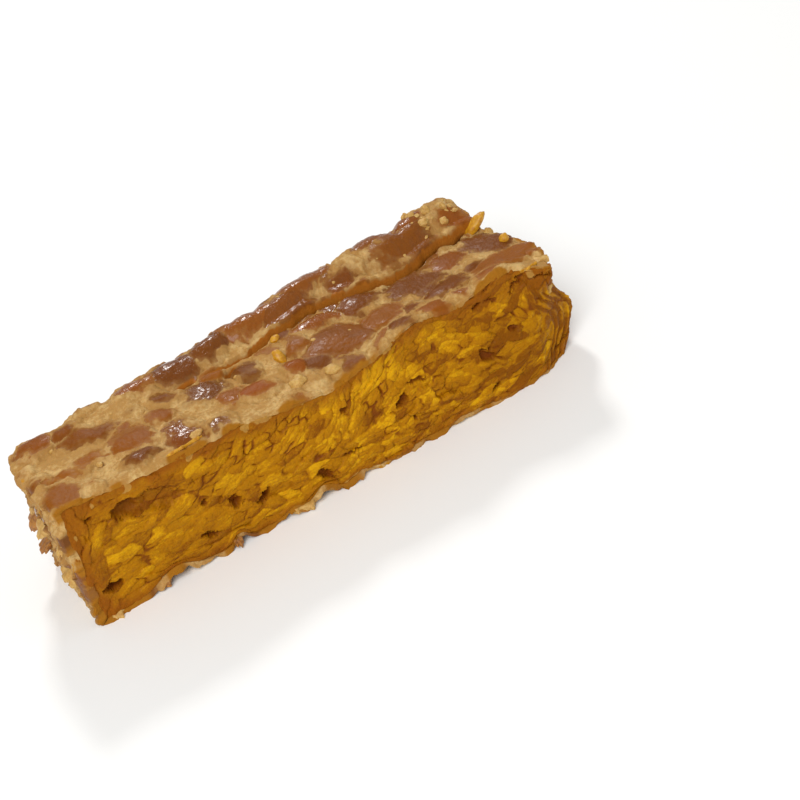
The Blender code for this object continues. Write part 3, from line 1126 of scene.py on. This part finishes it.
class Graph:
    """A material's shader graph."""

    def __init__(self, name: str) -> None:
        """Starts a material with an empty graph."""
        self.material = bpy.data.materials.new(name)
        self.material.use_nodes = True
        self.tree = self.material.node_tree
        self.tree.nodes.clear()

    def node(
        self,
        kind: str,
        settings: Optional[dict[str, Any]] = None,
        inputs: Optional[dict[Union[int, str], Value]] = None,
        output: Union[int, str] = 0,
    ) -> Wire:
        """Adds a node.

        Args:
            kind: the node's type.
            settings: its own settings, set first.
            inputs: the values or the wires of its sockets.
            output: the socket to hand back.

        Returns:
            That socket.
        """
        made = self.tree.nodes.new(kind)
        for key, value in (settings or {}).items():
            setattr(made, key, value)
        for key, value in (inputs or {}).items():
            if isinstance(value, Wire):
                self.tree.links.new(value.socket, made.inputs[key])
            else:
                made.inputs[key].default_value = value
        return Wire(self, made.outputs[output])

    def read(self, name: str) -> Wire:
        """A value that the piece's mesh carries at each point."""
        return self.node("ShaderNodeAttribute", {"attribute_name": name}, {}, "Fac")

    def grain(self, size: float, detail: float = 2.0, roughness: float = 0.5, salt: float = 0.0) -> Wire:
        """Noise from 0 to 1 in the piece's own space, with bumps of about that size in metres."""
        place = self.node("ShaderNodeTexCoord", output="Object")
        moved = self.node("ShaderNodeVectorMath", {"operation": "ADD"}, {0: place, 1: (salt, salt, salt)})
        values = {"Vector": moved, "Scale": 1.0 / size, "Detail": detail, "Roughness": roughness}
        return self.node("ShaderNodeTexNoise", {}, values, "Fac")

    def step(self, value: Value, low: float, high: float) -> Wire:
        """An S-shaped step from 0 at low to 1 at high."""
        values = {"Value": value, "From Min": low, "From Max": high}
        return self.node("ShaderNodeMapRange", {"interpolation_type": "SMOOTHSTEP"}, values)

    def mix(self, share: Value, low: Value, high: Value) -> Wire:
        """A colour between two."""
        return self.node("ShaderNodeMix", {"data_type": "RGBA"}, {0: share, 6: low, 7: high}, 2)

    def shade(self, share: Value, colour: Value) -> Wire:
        """A colour, darkened or lightened by a factor."""
        grey = self.node("ShaderNodeCombineColor", {}, {0: share, 1: share, 2: share})
        values = {0: 1.0, 6: colour, 7: grey}
        return self.node("ShaderNodeMix", {"data_type": "RGBA", "blend_type": "MULTIPLY"}, values, 2)

    def bump(self, height: Value, distance: float, strength: float = 1.0) -> Wire:
        """Fine relief in the shading."""
        values = {"Strength": strength, "Distance": distance, "Height": height}
        return self.node("ShaderNodeBump", {}, values, "Normal")

    def done(self, surface: dict[Union[int, str], Value]) -> bpy.types.Material:
        """Ends the graph with a Principled shader.

        Args:
            surface: the values or the wires of its sockets.

        Returns:
            The material.
        """
        shader = self.node("ShaderNodeBsdfPrincipled", {"subsurface_method": "RANDOM_WALK"}, surface)
        ending = self.tree.nodes.new("ShaderNodeOutputMaterial")
        self.tree.links.new(shader.socket, ending.inputs["Surface"])
        return self.material


@dataclass(frozen=True)
class SkinFinish:
    """The mould skin: pale, felted mould with bare brown beans in it, some of them wet."""

    red_bean: Colour = paint(136, 70, 18)
    brown_bean: Colour = paint(138, 80, 18)
    dark_bean: Colour = paint(108, 58, 10)
    side_bean: Colour = paint(124, 78, 40)
    mould: Colour = paint(178, 134, 74)
    cream: Colour = paint(206, 170, 110)
    kernel: Colour = paint(186, 130, 36)
    torn: Colour = paint(166, 100, 30)
    # groove is painted shade, for the split's foot and the slits.
    groove: Colour = paint(70, 34, 8)
    rim_orange: Colour = paint(158, 102, 22)

    def material(self) -> bpy.types.Material:
        """Builds it."""
        graph = Graph("mould_skin")
        bare = graph.read("bare")
        fine = graph.grain(0.0009, 3.0, 0.6)
        broad = graph.grain(0.0060, 3.0, 0.6, 0.31)
        speck = graph.grain(0.0003, 2.0, 0.6, 0.12)
        ragged = bare + (fine - 0.5) * 0.55 + (speck - 0.5) * 0.25
        clear = graph.step(ragged, -0.07, 0.09)
        film = graph.step(ragged + (broad - 0.5) * 0.9, 0.55, 0.05) * 0.24
        tone = graph.read("tone")
        bean = graph.mix(graph.read("red"), self.brown_bean, self.red_bean)
        bean = graph.mix(graph.step(tone + (broad - 0.5) * 0.6, 0.65, 0.15) * 0.6, bean, self.dark_bean)
        bean = graph.mix(graph.read("side") * 0.62, bean, self.side_bean)
        bean = graph.shade(0.72 + fine * 0.30 + tone * 0.22, bean)
        felt = graph.mix(graph.step(broad + (fine - 0.5) * 0.5, 0.42, 0.68), self.mould, self.cream)
        felt = graph.shade(0.74 + speck * 0.34 + fine * 0.14, felt)
        thin = graph.step(ragged + (broad - 0.5) * 0.8, -0.60, -0.05) * 0.42
        bean = graph.mix(film, bean, felt)
        felt = graph.mix(thin, felt, bean)
        skin = graph.mix(clear, felt, bean)
        grain_spots = graph.step(graph.grain(0.0034, 1.0, 0.4, 0.77), 0.66, 0.72)
        skin = graph.mix(grain_spots * (1.0 - clear) * graph.read("side"), skin, self.kernel)
        # The split's wall shows the torn inside; its foot and the slits are painted with dark shade.
        wall = graph.read("wall") + (fine - 0.5) * 0.25
        skin = graph.mix(graph.step(wall, 0.15, 0.40), skin, self.torn)
        skin = graph.mix(graph.step(wall, 0.55, 0.95), skin, self.groove)
        skin = graph.mix(graph.read("rim"), skin, self.rim_orange)
        wet = graph.read("wet") * clear
        dull = 0.66 - clear * 0.22 + (speck - 0.5) * 0.2
        pores = graph.grain(0.00042, 2.0, 0.6, 0.5)
        relief = pores * (1.0 - clear * 0.62 + wet * 0.5) + fine * (0.8 + wet * 0.7)
        return graph.done(
            {
                "Base Color": skin,
                "Roughness": dull - wet * 0.24,
                "Normal": graph.bump(relief, 0.00024, 0.70),
                "Coat Weight": wet * 0.40,
                "Coat Roughness": 0.17,
                "Specular IOR Level": 0.08,
                "Subsurface Weight": 0.10,
                "Subsurface Radius": (0.9, 0.45, 0.18),
                "Subsurface Scale": 0.0018,
            }
        )


@dataclass(frozen=True)
class CutFinish:
    """The cut: split beans in shades of mustard, with painted shade in the gaps and pits, and an orange-brown
    band under the skin.
    """

    deep: Colour = paint(132, 76, 6)
    mustard: Colour = paint(170, 112, 6)
    bright: Colour = paint(210, 154, 12)
    under_skin: Colour = paint(144, 82, 12)
    # The gap colour is painted shade for the open seams and the pits.
    gap: Colour = paint(114, 54, 12)
    cream: Colour = paint(192, 150, 76)

    def material(self) -> bpy.types.Material:
        """Builds it."""
        graph = Graph("cut_cake")
        fine = graph.grain(0.0008, 3.0, 0.6)
        broad = graph.grain(0.0070, 2.0, 0.5, 0.23)
        speck = graph.grain(0.0003, 2.0, 0.6, 0.4)
        tone = graph.read("tone") + (fine - 0.5) * 0.45 + (speck - 0.5) * 0.15
        low = graph.mix(graph.step(tone, 0.0, 0.5), self.deep, self.mustard)
        flesh = graph.mix(graph.step(tone, 0.5, 1.0), low, self.bright)
        flesh = graph.mix(graph.read("rim") * (0.45 + broad * 0.75), flesh, self.under_skin)
        cream = graph.step(graph.read("pale") + (speck - 0.5) * 0.5, 0.45, 0.75) * 0.55
        flesh = graph.mix(cream, flesh, self.cream)
        flesh = graph.shade(0.80 + broad * 0.24 + speck * 0.18, flesh)
        # Painted shade darkens the open seams and the pits.
        crack_shade = graph.step(graph.read("crack_shade") + (fine - 0.5) * 0.4, 0.15, 0.95)
        flesh = graph.mix(crack_shade * 0.88, flesh, self.gap)
        relief = fine + speck * 0.5
        return graph.done(
            {
                "Base Color": flesh,
                "Roughness": 0.50 + (fine - 0.5) * 0.3,
                "Normal": graph.bump(relief, 0.00022, 0.6),
                "Coat Weight": 0.02,
                "Coat Roughness": 0.25,
                "Specular IOR Level": 0.05,
                "Subsurface Weight": 0.12,
                "Subsurface Radius": (1.0, 0.55, 0.12),
                "Subsurface Scale": 0.0020,
            }
        )


@dataclass(frozen=True)
class CrumbFinish:
    """A loose shred, nib or granule of one colour, a little mottled."""

    name: str
    light: Colour
    dark: Colour
    roughness: float = 0.5

    def material(self) -> bpy.types.Material:
        """Builds it."""
        graph = Graph(self.name)
        fine = graph.grain(0.0009, 3.0, 0.6)
        return graph.done(
            {
                "Base Color": graph.mix(graph.step(fine, 0.3, 0.7), self.dark, self.light),
                "Roughness": self.roughness,
                "Normal": graph.bump(fine, 0.0002, 0.6),
                "Subsurface Weight": 0.12,
                "Subsurface Radius": (1.0, 0.55, 0.2),
                "Subsurface Scale": 0.0015,
            }
        )


def dress(
    name: str, mesh: bmesh.types.BMesh, material: bpy.types.Material, sharp: float = 60.0
) -> bpy.types.Object:
    """Makes a finished bmesh a piece of the object.

    Args:
        name: the piece's name.
        mesh: its mesh, in place; it is freed.
        material: its finish.
        sharp: the angle in degrees from which an edge stays sharp.

    Returns:
        The piece, which rides on the slab's body.
    """
    data = bpy.data.meshes.new(name)
    mesh.to_mesh(data)
    mesh.free()
    data.shade_smooth()
    data.set_sharp_from_angle(angle=math.radians(sharp))
    data.materials.append(material)
    piece = bpy.data.objects.new(name, data)
    bpy.context.scene.collection.objects.link(piece)
    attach(piece, "root")
    LOG.info("%s: %d faces", name, len(data.polygons))
    return piece


@dataclass
class Sheet:
    """One side of the slab as a fine closed shell.

    Attributes:
        side: the side that it covers.
        columns: its divisions along.
        rows: its divisions across.
        lip_drop: how far the skin's edge bends in over a cut, at least.
        lip_ragged: how much further it bends in, in places.
        lip_proud: how far it stands out of the cut.
        wall_depths: how deep the shell's two rings lie.
        axis_share: how far the last ring reaches towards the slab's axis.
    """

    side: Side
    columns: int
    rows: int
    lip_drop: float = 0.0002
    lip_ragged: float = 0.0007
    lip_proud: float = 0.00025
    wall_depths: tuple[float, float] = (0.0004, 0.0011)
    axis_share: float = 0.40

    def unit(self, grid: Array) -> Array:
        """The cube's points on this side for points on a flat grid from -1 to 1."""
        a, b = grid[:, 0], grid[:, 1]
        one = np.ones(len(a))
        columns = {
            Side.TOP: (a, b, one),
            Side.UNDER: (a, -b, -one),
            Side.BACK: (-a, one, b),
            Side.LEFT: (-one, -a, b),
            Side.FRONT: (a, -one, b),
            Side.END: (one, a, b),
        }[self.side]
        return np.stack(columns, axis=1)

    def build(self, read: Callable[[Surface], Any], values: Sequence[str]) -> bmesh.types.BMesh:
        """Builds the shell.

        Args:
            read: gives the field of this side for a surface, with its rise.
            values: the field's values that the mesh carries for its finish.

        Returns:
            The closed mesh.
        """
        mesh = bmesh.new()
        bmesh.ops.create_grid(mesh, x_segments=self.columns, y_segments=self.rows, size=1.0)
        mesh.verts.ensure_lookup_table()
        grid = np.array([vert.co[:2] for vert in mesh.verts])
        surface = FORM.surface(self.unit(grid))
        field_here = read(surface)
        swell = FORM.swell(surface.flat)
        points = FORM.placed(surface, swell + field_here.rise)
        index = mesh.verts.layers.int.new("index")
        layers = [(mesh.verts.layers.float.new(name), getattr(field_here, name)) for name in values]
        side = mesh.verts.layers.float.new("side")
        steep = surface.steep
        for number, vert in enumerate(mesh.verts):
            vert.co = points[number]
            vert[index] = number
            vert[side] = steep[number]
            for layer, numbers in layers:
                vert[layer] = numbers[number]
        self._close(mesh, index, self._rings(surface, swell, field_here.rise, points))
        return mesh

    def _rings(self, surface: Surface, swell: Array, rise: Array, points: Array) -> list[Array]:
        """The places that the border moves to, step by step, as the shell is closed behind it.

        Args:
            surface: the sheet's points on the block.
            swell: the slow unevenness there.
            rise: how far each stands proud of it.
            points: their final places.

        Returns:
            The places of one ring after another; only those of border points matter.
        """
        unit = surface.unit
        right, front = unit[:, 0] > ON_FACE, unit[:, 1] < -ON_FACE
        cut = np.stack([right, -front.astype(float), np.zeros(len(unit))], axis=1)
        lipped = (np.abs(cut).sum(axis=1) > 0.0) & (self.side not in (Side.FRONT, Side.END))
        cut /= np.maximum(np.linalg.norm(cut, axis=1), 1.0)[:, None]
        out = np.where(lipped[:, None], cut, surface.out)
        radius = FORM.radius_at(unit)[:, None]
        core = surface.flat - surface.out * radius
        ragged = np.clip(0.4 + 0.9 * GRAIN.rough(surface.flat, 0.0030, 61.0), 0.0, 1.6)
        drop = (self.lip_drop + self.lip_ragged * ragged)[:, None] * self.side.out
        edge = core + cut * radius - drop + 0.7 * radius * self.side.out
        lip = Surface(np.where(lipped[:, None], edge, surface.flat), out, unit)
        first = swell + np.where(lipped, self.lip_proud, rise - self.wall_depths[0])
        second = swell + np.where(lipped, -0.0012, rise - self.wall_depths[1])
        inner = FORM.placed(lip, second)
        middle = np.stack(
            [
                np.clip(points[:, 0], -0.048, 0.048),
                FORM.front_y + FORM.width_at(points[:, 0]) * 0.5,
                np.full(len(points), 0.015),
            ],
            axis=1,
        )
        return [FORM.placed(lip, first), inner, inner + (middle - inner) * self.axis_share]

    @staticmethod
    def _close(mesh: bmesh.types.BMesh, index: Any, rings: Iterable[Array]) -> None:
        """Extrudes the border from ring to ring and closes the last one."""
        edges = [edge for edge in mesh.edges if edge.is_boundary]
        for ring in rings:
            grown = bmesh.ops.extrude_edge_only(mesh, edges=edges)["geom"]
            for item in grown:
                if isinstance(item, bmesh.types.BMVert):
                    item.co = ring[item[index]]
            edges = [item for item in grown if isinstance(item, bmesh.types.BMEdge) and item.is_boundary]
        bmesh.ops.contextual_create(mesh, geom=edges)
        bmesh.ops.recalc_face_normals(mesh, faces=mesh.faces)


@dataclass
class Slab:
    """The slab's six sheets."""

    beans: BeanBed = field(default_factory=lambda: BeanBed(FORM))
    chips: ChipWall = field(default_factory=lambda: ChipWall(FORM))
    skins: tuple[Sheet, ...] = (
        Sheet(Side.TOP, 440, 150),
        Sheet(Side.BACK, 340, 84),
        Sheet(Side.UNDER, 220, 70),
        Sheet(Side.LEFT, 96, 104),
    )
    cuts: tuple[Sheet, ...] = (Sheet(Side.FRONT, 600, 150), Sheet(Side.END, 210, 130))

    def build(self) -> list[bpy.types.Object]:
        """Builds and dresses the sheets."""
        skin, cut = SkinFinish().material(), CutFinish().material()
        pieces = []
        for sheet in self.skins:
            mesh = sheet.build(self.beans.read, ("bare", "wet", "red", "tone", "wall", "rim"))
            pieces.append(dress(f"skin_{sheet.side.name.lower()}", mesh, skin))
        for sheet in self.cuts:
            mesh = sheet.build(self.chips.read, ("tone", "crack_shade", "rim", "pale"))
            pieces.append(dress(f"cut_{sheet.side.name.lower()}", mesh, cut))
        for piece in pieces:
            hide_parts("tempeh_slab")
        return pieces


def on_slab(flat: Sequence[float], out: Sequence[float], proud: float = 0.0) -> Vector:
    """Where a point of the plain block lies on the finished slab.

    Args:
        flat: the point on the block.
        out: the way out of the block there.
        proud: how far out of it the place is.

    Returns:
        The place.
    """
    height = float(FORM.height_at(np.array(flat[0])))
    unit = np.array([[0.0, 0.0, 2.0 * flat[2] / height - 1.0]])
    surface = Surface(np.array([flat], dtype=float), np.array([out], dtype=float), unit)
    return Vector(FORM.placed(surface, FORM.swell(surface.flat) + proud)[0])


@dataclass(frozen=True)
class Shred:
    """A torn strip of skin.

    Attributes:
        flat: where it grows from, on the plain block.
        out: the way out of the block there.
        reach: the way it points.
        across: the way its width runs.
        width: its width at its root.
        length: its length.
        curl: how far its end bends down.
    """

    flat: tuple[float, float, float]
    out: tuple[float, float, float]
    reach: tuple[float, float, float]
    across: tuple[float, float, float]
    width: float
    length: float
    curl: float


@dataclass
class Shreds:
    """Torn strips of one colour along the slab's edges.

    Attributes:
        name: the piece's name.
        finish: its colour.
        strips: the strips.
        thickness: how thick each is.
        cells: its divisions across and along.
        root: how deep it starts in the slab.
        seed: the seed of noise_vector, which takes the clock's if it has none.
    """

    name: str
    finish: CrumbFinish
    strips: tuple[Shred, ...]
    thickness: float = 0.0015
    cells: tuple[int, int] = (14, 12)
    root: float = 0.0012
    seed: int = 1

    def build(self) -> bpy.types.Object:
        """Builds and dresses them as one piece."""
        noise.seed_set(self.seed)
        mesh = bmesh.new()
        for number, strip in enumerate(self.strips):
            self._strip(mesh, strip, number)
        bmesh.ops.recalc_face_normals(mesh, faces=mesh.faces)
        return dress(self.name, mesh, self.finish.material(), 75.0)

    def _strip(self, mesh: bmesh.types.BMesh, strip: Shred, number: int) -> None:
        """Adds a strip: a small sheet that narrows to a ragged end, bends down and has a thickness."""
        columns, rows = self.cells
        made = bmesh.ops.create_grid(mesh, x_segments=columns, y_segments=rows, size=1.0)["verts"]
        start = on_slab(strip.flat, strip.out, -self.root)
        reach, across = Vector(strip.reach).normalized(), Vector(strip.across).normalized()
        shift = Vector((number * 3.7, 1.3, 9.1))
        for vert in made:
            side, share = vert.co.x, (vert.co.y + 1.0) / 2.0
            ragged = noise.noise(Vector((side * 2.1, 0.0, 0.0)) + shift)
            notch = noise.noise(Vector((side * 6.0, 4.0, 0.0)) + shift)
            far = share * strip.length * (1.0 - 0.25 * side * side + 0.30 * ragged + 0.10 * notch)
            wavy = noise.noise(shift * 2.0 + Vector((0.0, share * 3.0, side)))
            wide = side * strip.width / 2.0 * (1.0 - 0.35 * share + 0.25 * wavy)
            place = start + reach * far + across * wide
            place.z -= strip.curl * share * share
            place += noise.noise_vector(place / 0.0040 + shift) * 0.0007 * (0.4 + share)
            vert.co = place
        faces = list({face for vert in made for face in vert.link_faces})
        bmesh.ops.solidify(mesh, geom=faces, thickness=self.thickness)


@dataclass(frozen=True)
class Nib:
    """A loose bit of bean.

    Attributes:
        flat: its place on the plain block.
        halves: its half sizes.
        points: the way it points.
        proud: how far out of the block it sits.
    """

    flat: tuple[float, float, float]
    halves: tuple[float, float, float]
    points: tuple[float, float, float]
    proud: float = 0.0


@dataclass
class Nibs:
    """Loose bits of one colour on the slab."""

    name: str
    finish: CrumbFinish
    bits: tuple[Nib, ...]
    roughness: float = 0.22
    detail: int = 3

    def build(self) -> bpy.types.Object:
        """Builds and dresses them as one piece."""
        mesh = bmesh.new()
        for number, bit in enumerate(self.bits):
            turn = Vector(bit.points).to_track_quat("X", "Z").to_matrix().to_4x4()
            size = Matrix.Diagonal((*bit.halves, 1.0))
            place = Matrix.Translation(on_slab(bit.flat, (0.0, 0.0, 1.0), bit.proud))
            made = bmesh.ops.create_icosphere(mesh, subdivisions=self.detail, radius=1.0)["verts"]
            shift = Vector((number * 5.3, 2.2, 7.7))
            for vert in made:
                vert.co *= 1.0 + self.roughness * noise.noise(vert.co * 1.6 + shift)
            bmesh.ops.transform(mesh, matrix=place @ turn @ size, verts=made)
        bmesh.ops.recalc_face_normals(mesh, faces=mesh.faces)
        return dress(self.name, mesh, self.finish.material())


def scatter(
    count: int, seed: int, x_range: tuple[float, float], across: tuple[float, float]
) -> tuple[Nib, ...]:
    """Small granules at random on the top.

    Args:
        count: how many.
        seed: the seed of the draws.
        x_range: the stretch of the slab's length that they lie on.
        across: the shares of its width that they lie between.

    Returns:
        The granules.
    """
    rng = np.random.default_rng(seed)
    bits = []
    for _ in range(count):
        x = rng.uniform(*x_range)
        share = rng.uniform(*across)
        y = FORM.front_y + float(FORM.width_at(np.array(x))) * share
        half = rng.uniform(0.00035, 0.00095)
        halves = (half * rng.uniform(1.0, 1.6), half, half * rng.uniform(0.6, 0.9))
        points = (rng.normal(), rng.normal(), 0.3)
        bits.append(Nib((x, y, float(FORM.height_at(np.array(x)))), halves, points, 0.0007))
    return tuple(bits)


CREAM_STRIPS: tuple[Shred, ...] = (
    Shred((-0.07, -0.006, 0.025), (-1, 0, 0), (-0.7, 0.15, -0.7), (0.1, 1, 0.1), 0.008, 0.0066, 0.0016),
    Shred((-0.07, -0.013, 0.011), (-1, 0, 0), (-0.9, 0.2, -0.35), (0.1, 1, 0.3), 0.0095, 0.005, 0.001),
    Shred((-0.07, -0.0215, 0.029), (-1, 0, 0), (-0.65, -0.1, -0.8), (0.3, 1.0, 0), 0.006, 0.0056, 0.0008),
    Shred((-0.066, -0.024, 0.0012), (0, -1, 0), (0.1, -0.8, -0.1), (1, 0, 0), 0.0055, 0.003, 0.0006),
    Shred((-0.014, -0.024, 0.0008), (0, -1, 0), (0.15, -0.9, -0.1), (1, 0, 0), 0.008, 0.0036, 0.0004),
    Shred((0.069, -0.018, 0.029), (1, 0, 0), (0.8, -0.3, 0.1), (0.3, 1, 0), 0.005, 0.0034, 0.0006),
    Shred((0.069, -0.01, 0.029), (1, 0, 0), (0.85, 0.1, 0.25), (0, 1, 0), 0.004, 0.003, 0.0004),
    Shred((0.069, -0.0215, 0.0215), (1, 0, 0), (0.8, -0.5, 0.1), (0.2, 0.3, 1), 0.006, 0.0026, 0.0002),
)
BROWN_STRIPS: tuple[Shred, ...] = (
    Shred((-0.07, 0.005, 0.02), (-1, 0, 0), (-0.7, 0.15, -0.7), (0.2, 1, 0.1), 0.007, 0.006, 0.0016),
    Shred((-0.07, 0.002, 0.012), (-1, 0, 0), (-0.95, 0.0, -0.3), (0.1, 1, -0.3), 0.007, 0.0054, 0.001),
    Shred((-0.032, -0.024, 0.0008), (0, -1, 0), (-0.2, -0.9, -0.15), (1, 0, 0), 0.0036, 0.003, 0.0004),
    Shred((-0.053, -0.024, 0.0008), (0, -1, 0), (0.3, -0.9, -0.15), (1, 0, 0), 0.004, 0.003, 0.0004),
    Shred((0.02, -0.024, 0.0008), (0, -1, 0), (0.1, -0.9, -0.15), (1, 0, 0), 0.005, 0.0022, 0.0002),
)
YELLOW_STRIPS: tuple[Shred, ...] = (
    Shred((-0.037, -0.0236, 0.0338), (0, -0.8, 0.6), (0.1, -0.55, 0.8), (1, 0, 0.05), 0.0115, 0.003, 0.0004),
    Shred((0.064, -0.0236, 0.0286), (0, -0.8, 0.6), (0.2, -0.8, 0.5), (1, 0, 0), 0.006, 0.0022, 0.0002),
    Shred((0.07, -0.016, 0.02), (1, 0, 0), (0.95, -0.25, 0.1), (0, 0.2, 1), 0.005, 0.0022, 0.0002),
    Shred((0.07, -0.0165, 0.012), (1, 0, 0), (0.95, -0.25, 0.0), (0, 0.2, 1), 0.006, 0.002, 0.0002),
)
YELLOW_NIBS: tuple[Nib, ...] = (
    Nib((0.0680, 0.0098, 0.0286), (0.0042, 0.0019, 0.0014), (0.70, -0.10, 0.60), 0.0026),
    Nib((0.0670, -0.0020, 0.0286), (0.0018, 0.0014, 0.0014), (0.25, 0.20, 0.95), 0.0012),
    Nib((-0.0020, -0.0075, 0.0320), (0.0022, 0.0014, 0.0012), (-0.30, 0.60, 0.75), 0.0012),
    Nib((0.0010, 0.0010, 0.0320), (0.0015, 0.0011, 0.0008), (1.0, 0.3, 0.2), 0.0010),
)
CREAM_NIBS: tuple[Nib, ...] = (
    Nib((-0.0030, -0.0185, 0.0320), (0.0024, 0.0021, 0.0017), (1.0, 0.2, 0.0), 0.0006),
    Nib((0.0060, -0.0205, 0.0320), (0.0022, 0.0016, 0.0012), (1.0, -0.3, 0.0), 0.0006),
    Nib((-0.0320, -0.0215, 0.0330), (0.0018, 0.0010, 0.0008), (1.0, 0.2, 0.0), 0.0008),
    Nib((0.0560, 0.0150, 0.0290), (0.0018, 0.0014, 0.0012), (1.0, 0.4, 0.0), 0.0010),
    Nib((0.0590, 0.0185, 0.0290), (0.0016, 0.0015, 0.0013), (0.3, 1.0, 0.0), 0.0010),
    Nib((0.0615, 0.0140, 0.0290), (0.0014, 0.0012, 0.0011), (1.0, -0.4, 0.0), 0.0012),
    Nib((0.0545, 0.0195, 0.0290), (0.0015, 0.0013, 0.0011), (1.0, 0.0, 0.0), 0.0010),
    Nib((0.0640, 0.0175, 0.0290), (0.0015, 0.0011, 0.0012), (0.2, 1.0, 0.2), 0.0012),
    Nib((0.0180, 0.0060, 0.0300), (0.0016, 0.0011, 0.0009), (1.0, 0.3, 0.0), 0.0008),
    Nib((0.0690, 0.0060, 0.0280), (0.0016, 0.0013, 0.0012), (0.6, 1.0, 0.2), 0.0008),
)


@dataclass(frozen=True)
class Softbox:
    """A square light that points at the slab: its place, side and power."""

    name: str
    place: tuple[float, float, float]
    side: float
    power: float


@dataclass
class Studio:
    """A pale floor, soft light and the camera."""

    floor_size: float = 12.0
    floor_colour: Colour = paint(250, 250, 248)
    sky: float = 0.40
    lights: tuple[Softbox, ...] = (
        Softbox("key", (-0.55, -0.70, 0.90), 0.7, 11.0),
        Softbox("fill", (0.9, -0.5, 0.5), 0.9, 1.0),
        Softbox("back", (0.26, 0.80, 0.75), 0.16, 4.5),
    )
    lens: float = 67.5
    aim: tuple[float, float, float] = (0.0199, -0.0153, 0.0086)
    distance: float = 0.392
    azimuth: float = -22.3
    elevation: float = 35.4
    roll: float = -15.4

    def build(self) -> None:
        """Builds all of it."""
        self._floor()
        self._light()
        self._camera()

    def _floor(self) -> None:
        """A wide, plain floor at the slab's foot."""
        mesh = bmesh.new()
        bmesh.ops.create_grid(mesh, x_segments=1, y_segments=1, size=self.floor_size / 2.0)
        data = bpy.data.meshes.new("floor")
        mesh.to_mesh(data)
        mesh.free()
        graph = Graph("pale_floor")
        data.materials.append(graph.done({"Base Color": self.floor_colour, "Roughness": 0.8}))
        floor = bpy.data.objects.new("floor", data)
        bpy.context.scene.collection.objects.link(floor)

    def _light(self) -> None:
        """A white sky and the softboxes."""
        scene = bpy.context.scene
        scene.world = bpy.data.worlds.new("sky")
        scene.world.use_nodes = True
        sky = scene.world.node_tree.nodes["Background"].inputs
        sky["Color"].default_value = (1.0, 1.0, 1.0, 1.0)
        sky["Strength"].default_value = self.sky
        scene.view_settings.view_transform = "Standard"
        for box in self.lights:
            data = bpy.data.lights.new(box.name, "AREA")
            data.size = box.side
            data.energy = box.power
            light = bpy.data.objects.new(box.name, data)
            light.location = box.place
            light.rotation_euler = (-Vector(box.place)).to_track_quat("-Z", "Y").to_euler()
            scene.collection.objects.link(light)

    def _camera(self) -> None:
        """The camera, above the slab's front and a little to its left, and rolled."""
        around, above = math.radians(self.azimuth), math.radians(self.elevation)
        level = math.cos(above)
        back = Vector((math.sin(around) * level, -math.cos(around) * level, math.sin(above)))
        data = bpy.data.cameras.new("camera")
        data.lens = self.lens
        data.clip_start, data.clip_end = 0.01, 20.0
        camera = bpy.data.objects.new("camera", data)
        camera.location = Vector(self.aim) + back * self.distance
        turn = (-back).to_track_quat("-Z", "Y").to_matrix() @ Matrix.Rotation(math.radians(self.roll), 3, "Z")
        camera.rotation_euler = turn.to_euler()
        bpy.context.scene.collection.objects.link(camera)
        bpy.context.scene.camera = camera


def main() -> None:
    """Builds the slab and the studio."""
    logging.basicConfig(level=logging.INFO, format="%(name)s: %(message)s")
    Slab().build()
    cream = CrumbFinish("pale_mould", paint(206, 166, 92), paint(180, 134, 60), 0.6)
    brown = CrumbFinish("torn_skin", paint(178, 120, 46), paint(132, 80, 28), 0.5)
    yellow = CrumbFinish("yellow_bean", paint(214, 160, 30), paint(184, 122, 12), 0.45)
    Shreds("shreds_cream", cream, CREAM_STRIPS).build()
    Shreds("shreds_brown", brown, BROWN_STRIPS).build()
    Shreds("shreds_yellow", yellow, YELLOW_STRIPS, thickness=0.0009).build()
    Nibs("nibs_yellow", yellow, YELLOW_NIBS).build()
    granules = scatter(18, 3, (-0.066, 0.066), (0.06, 0.94)) + scatter(24, 4, (0.050, 0.067), (0.74, 0.97))
    Nibs("granules_cream", cream, CREAM_NIBS + granules, roughness=0.36).build()
    Studio().build()


if __name__ == "__main__":
    main()
